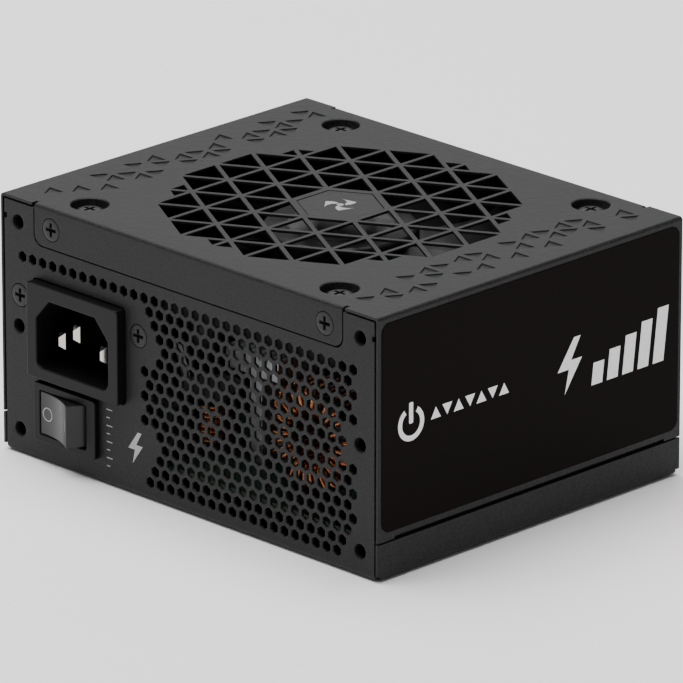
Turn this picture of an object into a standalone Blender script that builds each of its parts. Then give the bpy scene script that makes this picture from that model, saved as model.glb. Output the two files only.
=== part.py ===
"""A small computer power supply: folded steel case, slim fan under a triangle grille, mains inlet,
rocker switch, modular output sockets and the circuit inside.

Axes: X is the width, Y the depth and Z the height. The inlet face is at -Y, the socket face at +Y,
and the origin is the centre of the underside. Every size below is in millimetres, and place()
turns it into metres.
"""

import math

import bmesh
import bpy
import numpy as np
from mathutils import Vector, geometry

# Case
HALF_WIDTH = 62.3
HALF_DEPTH = 50.0
HEIGHT = 63.5
SHEET = 0.8
GAP = 0.3
STICKER = 0.15
STICKER_GAP = 0.05
WALL_IN = HALF_WIDTH - SHEET
PANEL_HALF = WALL_IN - GAP
PANEL_TOP = HEIGHT - SHEET - GAP
TRAY_LIP = 8.9
COVER_EDGE = 9.3
COVER_EDGE_RAISED = 10.3
RAISED_HALF = 44.6
BEND = 1.2

# The cover's end flanges, the panels behind them, and the screws that hold them
FLANGE_HALF = 50.8
FLANGE_LOW = 53.6
FLANGE_CORNER = 2.7
RELIEF_WIDTH = 0.9
RELIEF_DEPTH = 1.7
NOTCH = (57.6, 58.9)
NOTCH_DEPTH = 0.8
RAIL_HALF = 49.0
TONGUE_HALF = 44.0
COVER_SCREW = (45.2, 58.2)
SCREW_HEAD = 2.8
SCREW_SHANK = 1.5

# Six threaded holes that carry the supply: the corners and the middle of each side
MOUNT_X = 56.5
MOUNT_Z = (6.0, 31.75, 57.5)
MOUNT_RADIUS = 1.75
MOUNT_COLLAR = 2.9

# Top grille: equilateral triangles between straight ribs
GRILLE_SIDE = 12.0
GRILLE_COLUMN = GRILLE_SIDE * math.sqrt(3) / 2
GRILLE_RIB = 1.25
GRILLE_REACH = 40.0
BADGE_FLAT = 9.25
BADGE_RECESS = 0.35

# Honeycomb of the inlet face
HEX_PITCH = 3.415
HEX_ROW = 3.0
HEX_COUNT = 33
HEX_ROWS = 16
HEX_TOP_Z = 49.3
HEX_FLAT = 2.45
HEX_LEFT = -14.5
HEX_SHIFT = -0.4
# X, Z and radius of the plain areas: round the mount holes, the inlet's screw and the switch's mark
HEX_CLEAR = ((MOUNT_X, 6.0, 5.5), (MOUNT_X, 31.75, 5.5), (MOUNT_X, 57.5, 5.5))
HEX_CLEAR += ((-16.4, 39.5, 6.7), (-17.4, 12.0, 7.5))

# Mains inlet
INLET_X = -36.0
INLET_LOW, INLET_HIGH = 21.4, 44.9
INLET_HALF = 15.4
INLET_PROUD = 2.4
INLET_BACK = -34.0
INLET_SCREW_Z = 39.5
INLET_SCREW_HALF = 20.0
CAVITY_HALF = 12.1
CAVITY_LOW, CAVITY_HIGH = 24.4, 41.4
CAVITY_FLOOR = -36.4
PIN_Z = 31.2
EARTH_Z = 35.1
PIN_SPREAD = 7.0

# Rocker switch
BEZEL = (-50.2, -29.4, 5.5, 20.1)
BEZEL_PROUD = 1.5
SWITCH_BODY = (-48.95, -30.6, 6.3, 19.3)
SWITCH_BACK = -38.0
APERTURE = (-48.15, -32.4, 7.3, 18.35)
ROCKER_PIVOT = ((APERTURE[0] + APERTURE[1]) / 2, -46.85)
ROCKER_TILT = math.radians(15)
ROCKER_RIDGE = (6.16, -6.37)
ROCKER_DISH = 1.0
TRUNNION = 1.2

# Fan
FAN_HALF = 46.0
FAN_LOW, FAN_HIGH = 45.0, 60.0
FAN_BORE = 44.3
FAN_SCREW = 41.25
FAN_HUB = 18.5
FAN_TIP = 42.7
FAN_BLADES = 9
CUP_RADIUS = 4.75
CUP_FLOOR = 61.1
SHAFT = 1.5

# Circuit
BOARD_LOW, BOARD_HIGH = 6.0, 7.6
PART_BASE = BOARD_HIGH + GAP
SOCKET_BOARD = (38.4, 40.0)
SOCKET_FACE = 49.9
CONTACT_PITCH = 4.2


def clear_scene():
    for thing in list(bpy.data.objects):
        bpy.data.objects.remove(thing, do_unlink=True)


def finish(name, colour, roughness, metallic=0.0):
    """A Principled material, made once and shared by the pieces that have that finish."""
    made = bpy.data.materials.get(name)
    if made:
        return made
    made = bpy.data.materials.new(name)
    made.use_nodes = True
    shader = made.node_tree.nodes["Principled BSDF"]
    shader.inputs["Base Color"].default_value = (*colour, 1)
    shader.inputs["Roughness"].default_value = roughness
    shader.inputs["Metallic"].default_value = metallic
    return made


def powder_coat():
    return finish("powder_coat", (0.045, 0.045, 0.046), 0.55)


def black_plastic():
    return finish("black_plastic", (0.02, 0.02, 0.021), 0.4)


def screw_steel():
    return finish("screw_steel", (0.06, 0.06, 0.062), 0.45, 0.8)


def shaft_steel():
    return finish("shaft_steel", (0.42, 0.42, 0.43), 0.3, 1.0)


def plated_brass():
    return finish("plated_brass", (0.75, 0.74, 0.7), 0.25, 1.0)


def aluminium():
    return finish("aluminium", (0.7, 0.7, 0.71), 0.35, 1.0)


def copper():
    return finish("copper", (0.72, 0.33, 0.14), 0.3, 1.0)


def ferrite():
    return finish("ferrite", (0.05, 0.05, 0.055), 0.6)


def circuit_board():
    return finish("circuit_board", (0.02, 0.06, 0.03), 0.5)


def printed_film():
    return finish("printed_film", (0.012, 0.008, 0.008), 0.35)


def capacitor_sleeve():
    return finish("capacitor_sleeve", (0.015, 0.015, 0.018), 0.3)


def wire_insulation(name, colour):
    return finish(f"insulation_{name}", colour, 0.45)


def place(axis, u, v, along):
    """A point in metres, from the two coordinates across an axis and the one along it."""
    order = {"X": (along, u, v), "Y": (u, along, v), "Z": (u, v, along)}[axis]
    return tuple(value * 0.001 for value in order)


def circle(x, y, radius, count=16, start=0.0):
    turns = [start + math.tau * step / count for step in range(count)]
    return [(x + radius * math.cos(turn), y + radius * math.sin(turn)) for turn in turns]


def rectangle(left, right, low, high):
    return [(left, low), (right, low), (right, high), (left, high)]


def rounded(left, right, low, high, radius, steps=3):
    """A rectangle with an arc of that radius at each corner."""
    corners = ((right - radius, high - radius, 0), (left + radius, high - radius, 1))
    corners += ((left + radius, low + radius, 2), (right - radius, low + radius, 3))
    points = []
    for x, y, quarter in corners:
        for step in range(steps + 1):
            turn = math.pi / 2 * (quarter + step / steps)
            points.append((x + radius * math.cos(turn), y + radius * math.sin(turn)))
    return points


def turned_outline(points, turn, centre=(0, 0)):
    """The outline turned about the origin and moved to a centre."""
    c, s = math.cos(turn), math.sin(turn)
    return [(centre[0] + c * x - s * y, centre[1] + s * x + c * y) for x, y in points]


def cap_triangles(loops):
    """Triangles between the first loop and the holes in it, as indices into the loops' points in turn."""
    flat = [Vector(point) for loop in loops for point in loop]
    rims, first = [], 0
    for loop in loops:
        area = sum(a[0] * b[1] - b[0] * a[1] for a, b in zip(loop, loop[1:] + loop[:1]))
        rim = list(range(first, first + len(loop)))
        rims.append(rim if area > 0 else rim[::-1])
        first += len(loop)
    _, _, faces, sources, _, owners = geometry.delaunay_2d_cdt(flat, [], rims, 1, 1e-6)
    inside = [face for face, owner in zip(faces, owners) if list(owner) == [0]]
    return [tuple(sources[index][0] for index in face) for face in inside]


def prism(axis, outline, low, high, holes=()):
    """A straight-sided solid with through holes, as points and faces."""
    loops = [outline, *holes]
    caps = cap_triangles(loops)
    flat = [point for loop in loops for point in loop]
    points = [place(axis, u, v, low) for u, v in flat] + [place(axis, u, v, high) for u, v in flat]
    faces = [tuple(cap) for cap in caps] + [tuple(len(flat) + index for index in cap) for cap in caps]
    first = 0
    for loop in loops:
        for step in range(len(loop)):
            a, b = first + step, first + (step + 1) % len(loop)
            faces.append((a, b, len(flat) + b, len(flat) + a))
        first += len(loop)
    return points, faces


def box(left, right, front, back, low, high):
    return prism("Z", rectangle(left, right, front, back), low, high)


def lathe(axis, centre, profile, count=24):
    """A solid turned about an axis through the centre, from a closed profile of (radius, height) points."""
    points, rings = [], []
    for radius, along in profile:
        ring = circle(*centre, radius, count) if radius > 0 else [centre]
        rings.append([len(points) + step for step in range(len(ring))])
        points += [place(axis, u, v, along) for u, v in ring]
    faces = []
    for first, second in zip(rings, rings[1:] + rings[:1]):
        for step in range(count):
            after = (step + 1) % count
            corners = [first[step % len(first)], first[after % len(first)]]
            corners += [second[after % len(second)], second[step % len(second)]]
            kept = list(dict.fromkeys(corners))
            if len(kept) > 2:
                faces.append(tuple(kept))
    return points, faces


def cylinder(axis, centre, radius, low, high, count=14):
    return lathe(axis, centre, [(0, low), (radius, low), (radius, high), (0, high)], count)


def ring(axis, centre, inner, outer, low, high, count=24):
    return lathe(axis, centre, [(inner, low), (outer, low), (outer, high), (inner, high)], count)


def make(name, shapes, origin=(0, 0, 0)):
    """One object from closed shapes, with its own origin, given in millimetres."""
    mesh = bpy.data.meshes.new(name)
    start = Vector(origin) * 0.001
    points, faces = [], []
    for shape_points, shape_faces in shapes:
        faces += [tuple(len(points) + index for index in face) for face in shape_faces]
        points += [tuple(Vector(point) - start) for point in shape_points]
    mesh.from_pydata(points, [], faces)
    bm = bmesh.new()
    bm.from_mesh(mesh)
    bmesh.ops.recalc_face_normals(bm, faces=bm.faces)
    bm.to_mesh(mesh)
    bm.free()
    made = bpy.data.objects.new(name, mesh)
    made.location = start
    bpy.context.scene.collection.objects.link(made)
    return made


def piece(name, shape, surface, origin=(0, 0, 0), smooth=True):
    """A sub-part in its own material, with its round stretches shaded smooth."""
    made = make(name, [shape], origin)
    made.data.materials.append(surface)
    if smooth:
        made.data.shade_smooth()
        made.data.set_sharp_from_angle(angle=math.radians(35))
    return made


def combine(target, operation, shapes):
    """Adds the shapes to a piece, or cuts them from it. The shapes of one call stay clear of each other."""
    tool = make(f"{target.name}_{operation.lower()}_{len(target.modifiers)}", shapes)
    tool.hide_render = True
    tool.display_type = "WIRE"
    modifier = target.modifiers.new(operation.title(), "BOOLEAN")
    modifier.operation = operation
    modifier.object = tool


def grille_node(column, step):
    return (column * GRILLE_COLUMN, (step + 0.5 * (column % 2)) * GRILLE_SIDE)


def inset_triangle(corners, inset):
    """The triangle's corners drawn in, so that each side moves by the inset."""
    x = sum(corner[0] for corner in corners) / 3
    y = sum(corner[1] for corner in corners) / 3
    inner_radius = math.dist(corners[0], corners[1]) / (2 * math.sqrt(3))
    scale = (inner_radius - inset) / inner_radius
    return [(x + (u - x) * scale, y + (v - y) * scale) for u, v in corners]


def grille_holes():
    """Whole triangles within reach of the middle, and a pair of half-size ones at each of the six points."""
    found = []
    for column in range(-5, 5):
        for step in range(-5, 5):
            edge = column % 2
            near, far = (column, step), (column + 1, step)
            found.append([near, (column, step + 1), (column + 1, step + edge)])
            found.append([far, (column + 1, step + 1), (column, step + 1 - edge)])
    cells = []
    for nodes in found:
        cell = [grille_node(*node) for node in nodes]
        away = math.hypot(*[sum(corner[i] for corner in cell) / 3 for i in (0, 1)])
        if GRILLE_SIDE < away < GRILLE_REACH:
            cells.append(cell)
    for turn in range(6):
        angle = math.pi / 6 + math.pi / 3 * turn
        foot = turned_outline([(3 * GRILLE_SIDE, 0)], angle)[0]
        tip = turned_outline([(3.5 * GRILLE_SIDE, 0)], angle)[0]
        for side in (-1, 1):
            reach = turned_outline([(GRILLE_SIDE / 2, 0)], angle + side * math.pi / 3, foot)[0]
            cells.append([foot, tip, reach])
    return [inset_triangle(cell, GRILLE_RIB / 2) for cell in cells]


def hexagon(x, y, flat, pointed_up=True):
    """A regular hexagon, given across its flats."""
    return circle(x, y, flat / math.sqrt(3), 6, math.pi / 6 if pointed_up else 0)


def honeycomb_centres():
    """Staggered rows: the top one spans the panel, and the others stop right of the inlet."""
    start = HEX_SHIFT - HEX_PITCH * (HEX_COUNT - 1) / 2
    centres = []
    for row in range(HEX_ROWS):
        for step in range(HEX_COUNT - row % 2):
            x = start + HEX_PITCH * (step + 0.5 * (row % 2))
            z = HEX_TOP_Z - HEX_ROW * row
            near = any(math.hypot(x - u, z - v) < clear for u, v, clear in HEX_CLEAR)
            if row == 0 or (x > HEX_LEFT and not near):
                centres.append((x, z))
    return centres


def cover_profile():
    """The folded sheet's section across X: a roof and two walls, with round bends."""
    outside = [(HALF_WIDTH, COVER_EDGE)]
    for step in range(4):
        turn = math.pi / 2 * step / 3
        outside.append((HALF_WIDTH - BEND + BEND * math.cos(turn), HEIGHT - BEND + BEND * math.sin(turn)))
    inside = [(WALL_IN, COVER_EDGE), (WALL_IN, HEIGHT - BEND), (HALF_WIDTH - BEND, HEIGHT - SHEET)]
    right = outside[::-1] + inside
    left = [(-x, z) for x, z in right[::-1]]
    return right + left


def flange_outline():
    """The cover's end flange: square at the fold and rounded at its two free corners."""
    outline = [(FLANGE_HALF, HEIGHT - SHEET / 2), (-FLANGE_HALF, HEIGHT - SHEET / 2)]
    for x, quarter in ((-FLANGE_HALF + FLANGE_CORNER, 2), (FLANGE_HALF - FLANGE_CORNER, 3)):
        for step in range(4):
            turn = math.pi / 2 * (quarter + step / 3)
            z = FLANGE_LOW + FLANGE_CORNER + FLANGE_CORNER * math.sin(turn)
            outline.append((x + FLANGE_CORNER * math.cos(turn), z))
    return outline


def corners_of(x, y):
    return [(sx * x, sy * y) for sx in (-1, 1) for sy in (-1, 1)]


def top_cover():
    cover = piece("top_cover", prism("Y", cover_profile(), -HALF_DEPTH, HALF_DEPTH), powder_coat())
    flanges = [
        prism("Y", flange_outline(), -HALF_DEPTH, SHEET - HALF_DEPTH),
        prism("Y", flange_outline(), HALF_DEPTH - SHEET, HALF_DEPTH),
    ]
    tongue = [(WALL_IN - 1.0, 4.0), (WALL_IN - GAP, 4.0), (WALL_IN - GAP, 11.0), (WALL_IN + 0.4, 11.0)]
    tongue += [(WALL_IN + 0.4, 12.6), (WALL_IN - 1.0, 12.6)]
    tongues = []
    for side in (-1, 1):
        tongues.append(prism("Y", [(side * x, z) for x, z in tongue], -TONGUE_HALF, TONGUE_HALF))
    cups = [cylinder("Z", spot, CUP_RADIUS + 0.75, 60.3, 62.9) for spot in corners_of(FAN_SCREW, FAN_SCREW)]
    combine(cover, "UNION", flanges + tongues + cups)

    cuts = [prism("Z", cell, 61, 65) for cell in grille_holes()]
    cuts.append(prism("Z", hexagon(0, 0, 2 * BADGE_FLAT), HEIGHT - BADGE_RECESS, 65))
    cuts += [cylinder("Z", spot, CUP_RADIUS, CUP_FLOOR, 65) for spot in corners_of(FAN_SCREW, FAN_SCREW)]
    for x, y in corners_of(FLANGE_HALF + RELIEF_WIDTH / 2, HALF_DEPTH):
        left, right = x - RELIEF_WIDTH / 2, x + RELIEF_WIDTH / 2
        cuts.append(box(left, right, y - RELIEF_DEPTH, y + RELIEF_DEPTH, 62, 65))
    for side in (-1, 1):
        middle = side * HALF_WIDTH
        cuts.append(box(middle - 1.3, middle + 1.3, -RAISED_HALF, RAISED_HALF, 8, COVER_EDGE_RAISED))
        for x in (-COVER_SCREW[0], COVER_SCREW[0]):
            hole = side * (HALF_DEPTH - SHEET / 2)
            cuts.append(cylinder("Y", (x, COVER_SCREW[1]), SCREW_HEAD + 0.2, hole - 1, hole + 1))
    combine(cover, "DIFFERENCE", cuts)
    holes = [cylinder("Z", spot, 2.0, 59, 64) for spot in corners_of(FAN_SCREW, FAN_SCREW)]
    combine(cover, "DIFFERENCE", holes)


def bottom_tray():
    """The floor and its two low side lips. The end panels are folded up from the same sheet."""
    section = [(HALF_WIDTH, TRAY_LIP), (WALL_IN, TRAY_LIP), (WALL_IN, SHEET)]
    section += [(-x, z) for x, z in section[::-1]]
    section += [(-HALF_WIDTH, BEND), (BEND - HALF_WIDTH, 0), (HALF_WIDTH - BEND, 0), (HALF_WIDTH, BEND)]
    tray = piece("bottom_tray", prism("Y", section, -HALF_DEPTH, HALF_DEPTH), powder_coat())
    reach = HALF_DEPTH - SHEET - GAP
    slots = [box(-WALL_IN, WALL_IN, -55, -reach, -1, 2), box(-WALL_IN, WALL_IN, reach, 55, -1, 2)]
    combine(tray, "DIFFERENCE", slots)
    bosses = [cylinder("Z", spot, 2.4, 0.4, BOARD_LOW - GAP, 12) for spot in corners_of(52, 30)]
    combine(tray, "UNION", bosses)


def panel_outline():
    """An end panel: full width, with a step for the cover's flange and a small notch on each edge."""
    step_x, step_z = FLANGE_HALF + GAP, FLANGE_LOW - GAP
    notch = PANEL_HALF - NOTCH_DEPTH
    right = [(PANEL_HALF, 0), (PANEL_HALF, NOTCH[0]), (notch, NOTCH[0]), (notch, NOTCH[1])]
    right += [(PANEL_HALF, NOTCH[1]), (PANEL_HALF, PANEL_TOP), (step_x, PANEL_TOP)]
    for step in range(4):
        turn = -math.pi / 2 * step / 3
        z = step_z + FLANGE_CORNER + FLANGE_CORNER * math.sin(turn)
        right.append((step_x - FLANGE_CORNER + FLANGE_CORNER * math.cos(turn), z))
    return right + [(-x, z) for x, z in right[::-1]]


def screw_rail(side):
    """The joggled strip behind the cover's flange, which its screws bite into."""
    face = HALF_DEPTH - SHEET
    section = [(face + 0.3, 51.3), (face - 1.1, 51.3), (face - 1.1, 61.0), (face - 0.3, 61.0)]
    section += [(face - 0.3, 53.0), (face + 0.3, 53.0)]
    return prism("X", [(side * y, z) for y, z in section], -RAIL_HALF, RAIL_HALF)


def cover_screw_holes(side):
    spots = [(-COVER_SCREW[0], COVER_SCREW[1]), COVER_SCREW]
    face = side * (HALF_DEPTH - SHEET)
    return [cylinder("Y", spot, SCREW_SHANK + 0.3, face - 3, face + 3) for spot in spots]


def rear_panel():
    holes = [hexagon(x, z, HEX_FLAT) for x, z in honeycomb_centres()]
    half = INLET_HALF + GAP
    holes.append(rounded(INLET_X - half, INLET_X + half, INLET_LOW - GAP, INLET_HIGH + GAP, 1.2))
    left, right, low, high = SWITCH_BODY
    holes.append(rectangle(left - GAP, right + GAP, low - GAP, high + GAP))
    for side in (-1, 1):
        spot = (INLET_X + side * INLET_SCREW_HALF, INLET_SCREW_Z)
        holes.append(circle(*spot, SCREW_HEAD + 0.2))
    shape = prism("Y", panel_outline(), -HALF_DEPTH, SHEET - HALF_DEPTH, holes)
    panel = piece("rear_panel", shape, powder_coat())
    spots = [(side * MOUNT_X, z) for side in (-1, 1) for z in MOUNT_Z]
    collars = [cylinder("Y", spot, MOUNT_COLLAR, -49.6, -47.6, 12) for spot in spots]
    combine(panel, "UNION", [screw_rail(-1)] + collars)
    bores = [cylinder("Y", spot, MOUNT_RADIUS, -51, -47, 12) for spot in spots]
    combine(panel, "DIFFERENCE", bores + cover_screw_holes(-1))


def socket_places():
    """Name, contacts in a row, middle X and middle Z of each modular socket."""
    places = [("socket_board_18", 9, -20.0, 39.2), ("socket_board_10", 5, 22.0, 39.2)]
    places += [(f"socket_power_8_{n + 1}", 4, -30.0 + 30.0 * n, 25.7) for n in range(3)]
    places += [(f"socket_drive_6_{n + 1}", 3, -18.0 + 36.0 * n, 12.2) for n in range(2)]
    return places


def socket_size(contacts):
    return CONTACT_PITCH * contacts / 2 + 0.6, CONTACT_PITCH + 0.6


def connector_panel():
    holes = []
    for _, contacts, x, z in socket_places():
        half, tall = socket_size(contacts)
        holes.append(rectangle(x - half - GAP, x + half + GAP, z - tall - GAP, z + tall + GAP))
    shape = prism("Y", panel_outline(), HALF_DEPTH - SHEET, HALF_DEPTH, holes)
    panel = piece("connector_panel", shape, powder_coat())
    combine(panel, "UNION", [screw_rail(1)])
    combine(panel, "DIFFERENCE", cover_screw_holes(1))


def modular_sockets():
    """Two rows of square contact wells in each block."""
    for name, contacts, x, z in socket_places():
        half, tall = socket_size(contacts)
        outline = rectangle(x - half, x + half, z - tall, z + tall)
        socket = piece(name, prism("Y", outline, SOCKET_BOARD[1] + GAP, SOCKET_FACE), black_plastic())
        wells = []
        for column in range(contacts):
            for row in (-0.5, 0.5):
                u = x + CONTACT_PITCH * (column - (contacts - 1) / 2)
                v = z + CONTACT_PITCH * row
                wells.append(prism("Y", rectangle(u - 1.7, u + 1.7, v - 1.7, v + 1.7), 42.0, 51.0))
        combine(socket, "DIFFERENCE", wells)


def cross_recess(axis, centre, low, high, reach=1.6, arm=0.45):
    """The four-armed driver slot, as a solid to cut away."""
    quarter = [(arm, reach), (-arm, reach), (-arm, arm)]
    outline = [point for turn in range(4) for point in turned_outline(quarter, turn * math.pi / 2)]
    return prism(axis, [(centre[0] + u, centre[1] + v) for u, v in outline], low, high)


def countersunk_screw(name, x, z, side):
    """A flat-headed screw in an end face. Its axis is along Y."""
    face = HALF_DEPTH + 0.05
    profile = [(0, face), (SCREW_HEAD - 0.2, face), (SCREW_HEAD, face - 0.25), (SCREW_SHANK, face - 1.1)]
    profile += [(SCREW_SHANK, face - 3.6), (0, face - 3.6)]
    shape = lathe("Y", (x, z), [(radius, side * y) for radius, y in profile], 14)
    screw = piece(name, shape, screw_steel())
    recess = sorted((side * (face - 0.8), side * (face + 1)))
    combine(screw, "DIFFERENCE", [cross_recess("Y", (x, z), *recess)])


def fan_screw(name, x, y):
    """A pan-headed screw in the bottom of a cup in the cover."""
    base = CUP_FLOOR + 0.1
    profile = [(0, base + 1.2), (2.6, base + 1.2), (3.4, base + 0.7), (3.4, base)]
    profile += [(1.6, base), (1.6, 52), (0, 52)]
    screw = piece(name, lathe("Z", (x, y), profile, 14), screw_steel())
    combine(screw, "DIFFERENCE", [cross_recess("Z", (x, y), base + 0.3, base + 2)])


def fasteners():
    for index, (x, y) in enumerate(corners_of(FAN_SCREW, FAN_SCREW)):
        fan_screw(f"fan_screw_{index + 1}", x, y)
    for face, side in (("rear", -1), ("front", 1)):
        for label, x in (("left", -COVER_SCREW[0]), ("right", COVER_SCREW[0])):
            countersunk_screw(f"cover_screw_{face}_{label}", x, COVER_SCREW[1], side)
    for label, side in (("left", -1), ("right", 1)):
        countersunk_screw(f"inlet_screw_{label}", INLET_X + side * INLET_SCREW_HALF, INLET_SCREW_Z, -1)


def inlet_cavity():
    """The plug's outline: two upper corners cut away."""
    left, right = INLET_X - CAVITY_HALF, INLET_X + CAVITY_HALF
    points = [(right, CAVITY_LOW + 1.2), (right, CAVITY_HIGH - 4.9), (right - 4.4, CAVITY_HIGH)]
    points += [(left + 4.4, CAVITY_HIGH), (left, CAVITY_HIGH - 4.9), (left, CAVITY_LOW + 1.2)]
    return points + [(left + 1.2, CAVITY_LOW), (right - 1.2, CAVITY_LOW)]


def pin_places():
    return [("live", -PIN_SPREAD, PIN_Z), ("neutral", PIN_SPREAD, PIN_Z), ("earth", 0, EARTH_Z)]


def inlet():
    """The moulded inlet, its two screw ears behind the panel, and its three blades."""
    front = -HALF_DEPTH - INLET_PROUD
    left, right = INLET_X - INLET_HALF, INLET_X + INLET_HALF
    shroud = prism("Y", rounded(left, right, INLET_LOW, INLET_HIGH, 1.0), front, INLET_BACK)
    body = piece("inlet_body", shroud, black_plastic())
    ear_half = INLET_SCREW_HALF + 3.8
    ears = rounded(INLET_X - ear_half, INLET_X + ear_half, 36.0, 43.0, 2.5)
    combine(body, "UNION", [prism("Y", ears, SHEET + GAP - HALF_DEPTH, -46.5)])
    cuts = [prism("Y", inlet_cavity(), front - 1, CAVITY_FLOOR)]
    for side in (-1, 1):
        cuts.append(cylinder("Y", (INLET_X + side * INLET_SCREW_HALF, INLET_SCREW_Z), 1.8, -50, -45))
    combine(body, "DIFFERENCE", cuts)
    slots = []
    for _, x, z in pin_places():
        slot = rectangle(INLET_X + x - 1.2, INLET_X + x + 1.2, z - 2.25, z + 2.25)
        slots.append(prism("Y", slot, CAVITY_FLOOR - 0.6, INLET_BACK + 1))
    combine(body, "DIFFERENCE", slots)
    for name, x, z in pin_places():
        tip = -51.8 if name == "earth" else -49.9
        middle = INLET_X + x
        plan = [(middle - 1, -30.5), (middle + 1, -30.5), (middle + 1, tip + 2.2)]
        plan += [(middle + 0.45, tip), (middle - 0.45, tip), (middle - 1, tip + 2.2)]
        piece(f"{name}_blade", prism("Z", plan, z - 2.05, z + 2.05), plated_brass())


def rocker_outline():
    """The rocker's section in its own frame: a dished face, two flared ends and the contact's nub."""
    ridge_x, ridge_y = ROCKER_RIDGE
    face = []
    for step in range(9):
        share = 2 * step / 8 - 1
        face.append((-share * ridge_x, ridge_y + ROCKER_DISH * (1 - share * share)))
    flare = 6.0
    foot_x = ridge_x + flare * math.sin(ROCKER_TILT)
    foot_y = ridge_y + flare * math.cos(ROCKER_TILT)
    return face + [(-foot_x, foot_y), (-2.6, 0.6), (-1.2, 3.2), (1.2, 3.2), (2.6, 0.6), (foot_x, foot_y)]


def rocker_switch():
    bezel = prism("Y", rounded(*BEZEL, 0.8), -HALF_DEPTH - BEZEL_PROUD, -50.1)
    housing = piece("switch_housing", bezel, black_plastic())
    combine(housing, "UNION", [prism("Y", rectangle(*SWITCH_BODY), -50.6, SWITCH_BACK)])
    combine(housing, "DIFFERENCE", [prism("Y", rectangle(*APERTURE), -53, SWITCH_BACK - 1.2)])
    terminals = (("line", -45.5), ("load", -36.5))
    cuts = [cylinder("Z", ROCKER_PIVOT, TRUNNION + 0.08, 6.6, 19.0, 24)]
    for _, x in terminals:
        cuts.append(prism("Y", rectangle(x - 0.65, x + 0.65, 9.6, 16.0), -40, -37))
    combine(housing, "DIFFERENCE", cuts)
    for name, x in terminals:
        blade = prism("Y", rectangle(x - 0.4, x + 0.4, 9.85, 15.75), -41.0, -31.0)
        piece(f"switch_terminal_{name}", blade, plated_brass())
    outline = turned_outline(rocker_outline(), -ROCKER_TILT, ROCKER_PIVOT)
    origin = (*ROCKER_PIVOT, (APERTURE[2] + APERTURE[3]) / 2)
    paddle = prism("Z", outline, APERTURE[2] + 0.25, APERTURE[3] - 0.25)
    rocker = piece("switch_rocker", paddle, black_plastic(), origin)
    combine(rocker, "UNION", [cylinder("Z", ROCKER_PIVOT, TRUNNION, 6.85, 18.8, 24)])


def blade_shape(turn):
    """One swept fan blade as a closed loft through four stations, each a thin tilted section."""
    stations = []
    for share in np.linspace(0, 1, 4):
        radius = 17.6 + (FAN_TIP - 17.6) * share
        sweep = turn + 0.42 * share ** 1.6
        chord = 13.0 + 5.0 * share
        tilt = math.radians(50 - 20 * share)
        upper, lower = [], []
        for step in (-1.0, 0.0, 1.0):
            across = chord / 2 * step
            lift = across * math.sin(tilt) * 0.62 + 53.4 - 0.7 * (1 - step * step)
            angle = sweep + across * math.cos(tilt) / radius
            half = 0.35 + 0.35 * (1 - abs(step))
            x, y = radius * math.cos(angle), radius * math.sin(angle)
            upper.append((x, y, lift + half))
            lower.append((x, y, lift - half))
        stations.append(upper + lower[::-1])
    points = [tuple(value * 0.001 for value in point) for station in stations for point in station]
    size = len(stations[0])
    faces = [tuple(range(size))[::-1], tuple(range(len(points) - size, len(points)))]
    for index in range(len(stations) - 1):
        for step in range(size):
            a, b = index * size + step, index * size + (step + 1) % size
            faces.append((a, b, b + size, a + size))
    return points, faces


def fan_frame():
    outline = rounded(-FAN_HALF, FAN_HALF, -FAN_HALF, FAN_HALF, 4.0, 2)
    holes = [circle(0, 0, FAN_BORE, 40)]
    holes += [circle(*spot, 1.95, 12) for spot in corners_of(FAN_SCREW, FAN_SCREW)]
    frame = piece("fan_frame", prism("Z", outline, FAN_LOW, FAN_HIGH, holes), black_plastic())
    strut = rectangle(12.0, FAN_BORE + 0.8, -2.0, 2.0)
    turns = [math.radians(20 + 90 * index) for index in range(4)]
    combine(frame, "UNION", [prism("Z", turned_outline(strut, turn), FAN_LOW, 46.8) for turn in turns])
    hub = [(0, FAN_LOW), (17.0, FAN_LOW), (17.0, 46.4), (4.6, 46.4)]
    hub += [(4.6, 54.8), (3.4, 54.8), (3.4, 45.6), (0, 45.6)]
    combine(frame, "UNION", [lathe("Z", (0, 0), hub)])


def fan_moving():
    """The rotor with its swept blades, and the shaft and magnet that turn with it."""
    cup = [(0, 58.8), (FAN_HUB - 1, 58.8), (FAN_HUB, 57.8), (FAN_HUB, 47.7), (FAN_HUB - 1.2, 47.7)]
    cup += [(FAN_HUB - 1.2, 57.4), (3.2, 57.4), (3.2, 55.6), (1.75, 55.6), (1.75, 57.6), (0, 57.6)]
    rotor = piece("fan_rotor", lathe("Z", (0, 0), cup, 24), black_plastic(), (0, 0, 52.5))
    combine(rotor, "UNION", [blade_shape(math.tau * index / FAN_BLADES) for index in range(FAN_BLADES)])
    piece("fan_shaft", cylinder("Z", (0, 0), SHAFT, 46.0, 57.3, 24), shaft_steel(), (0, 0, 52.5))
    piece("fan_magnet", ring("Z", (0, 0), 15.2, 17.0, 48.4, 56.4), ferrite(), (0, 0, 52.5))


def fan_fixed():
    """The bearing sleeve and the four-pole stator round it."""
    piece("fan_bearing", ring("Z", (0, 0), SHAFT + 0.06, 3.3, 45.9, 54.6), plated_brass())
    pole = []
    for index in range(4):
        quarter = [(10.5, -3.0), (12.0, -8.0), (14.4, -4.0), (14.4, 4.0), (12.0, 8.0), (10.5, 3.0)]
        pole += turned_outline(quarter, index * math.pi / 2)
    piece("fan_stator", prism("Z", pole, 47.2, 54.0, [circle(0, 0, 4.9, 16)]), copper())


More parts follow.
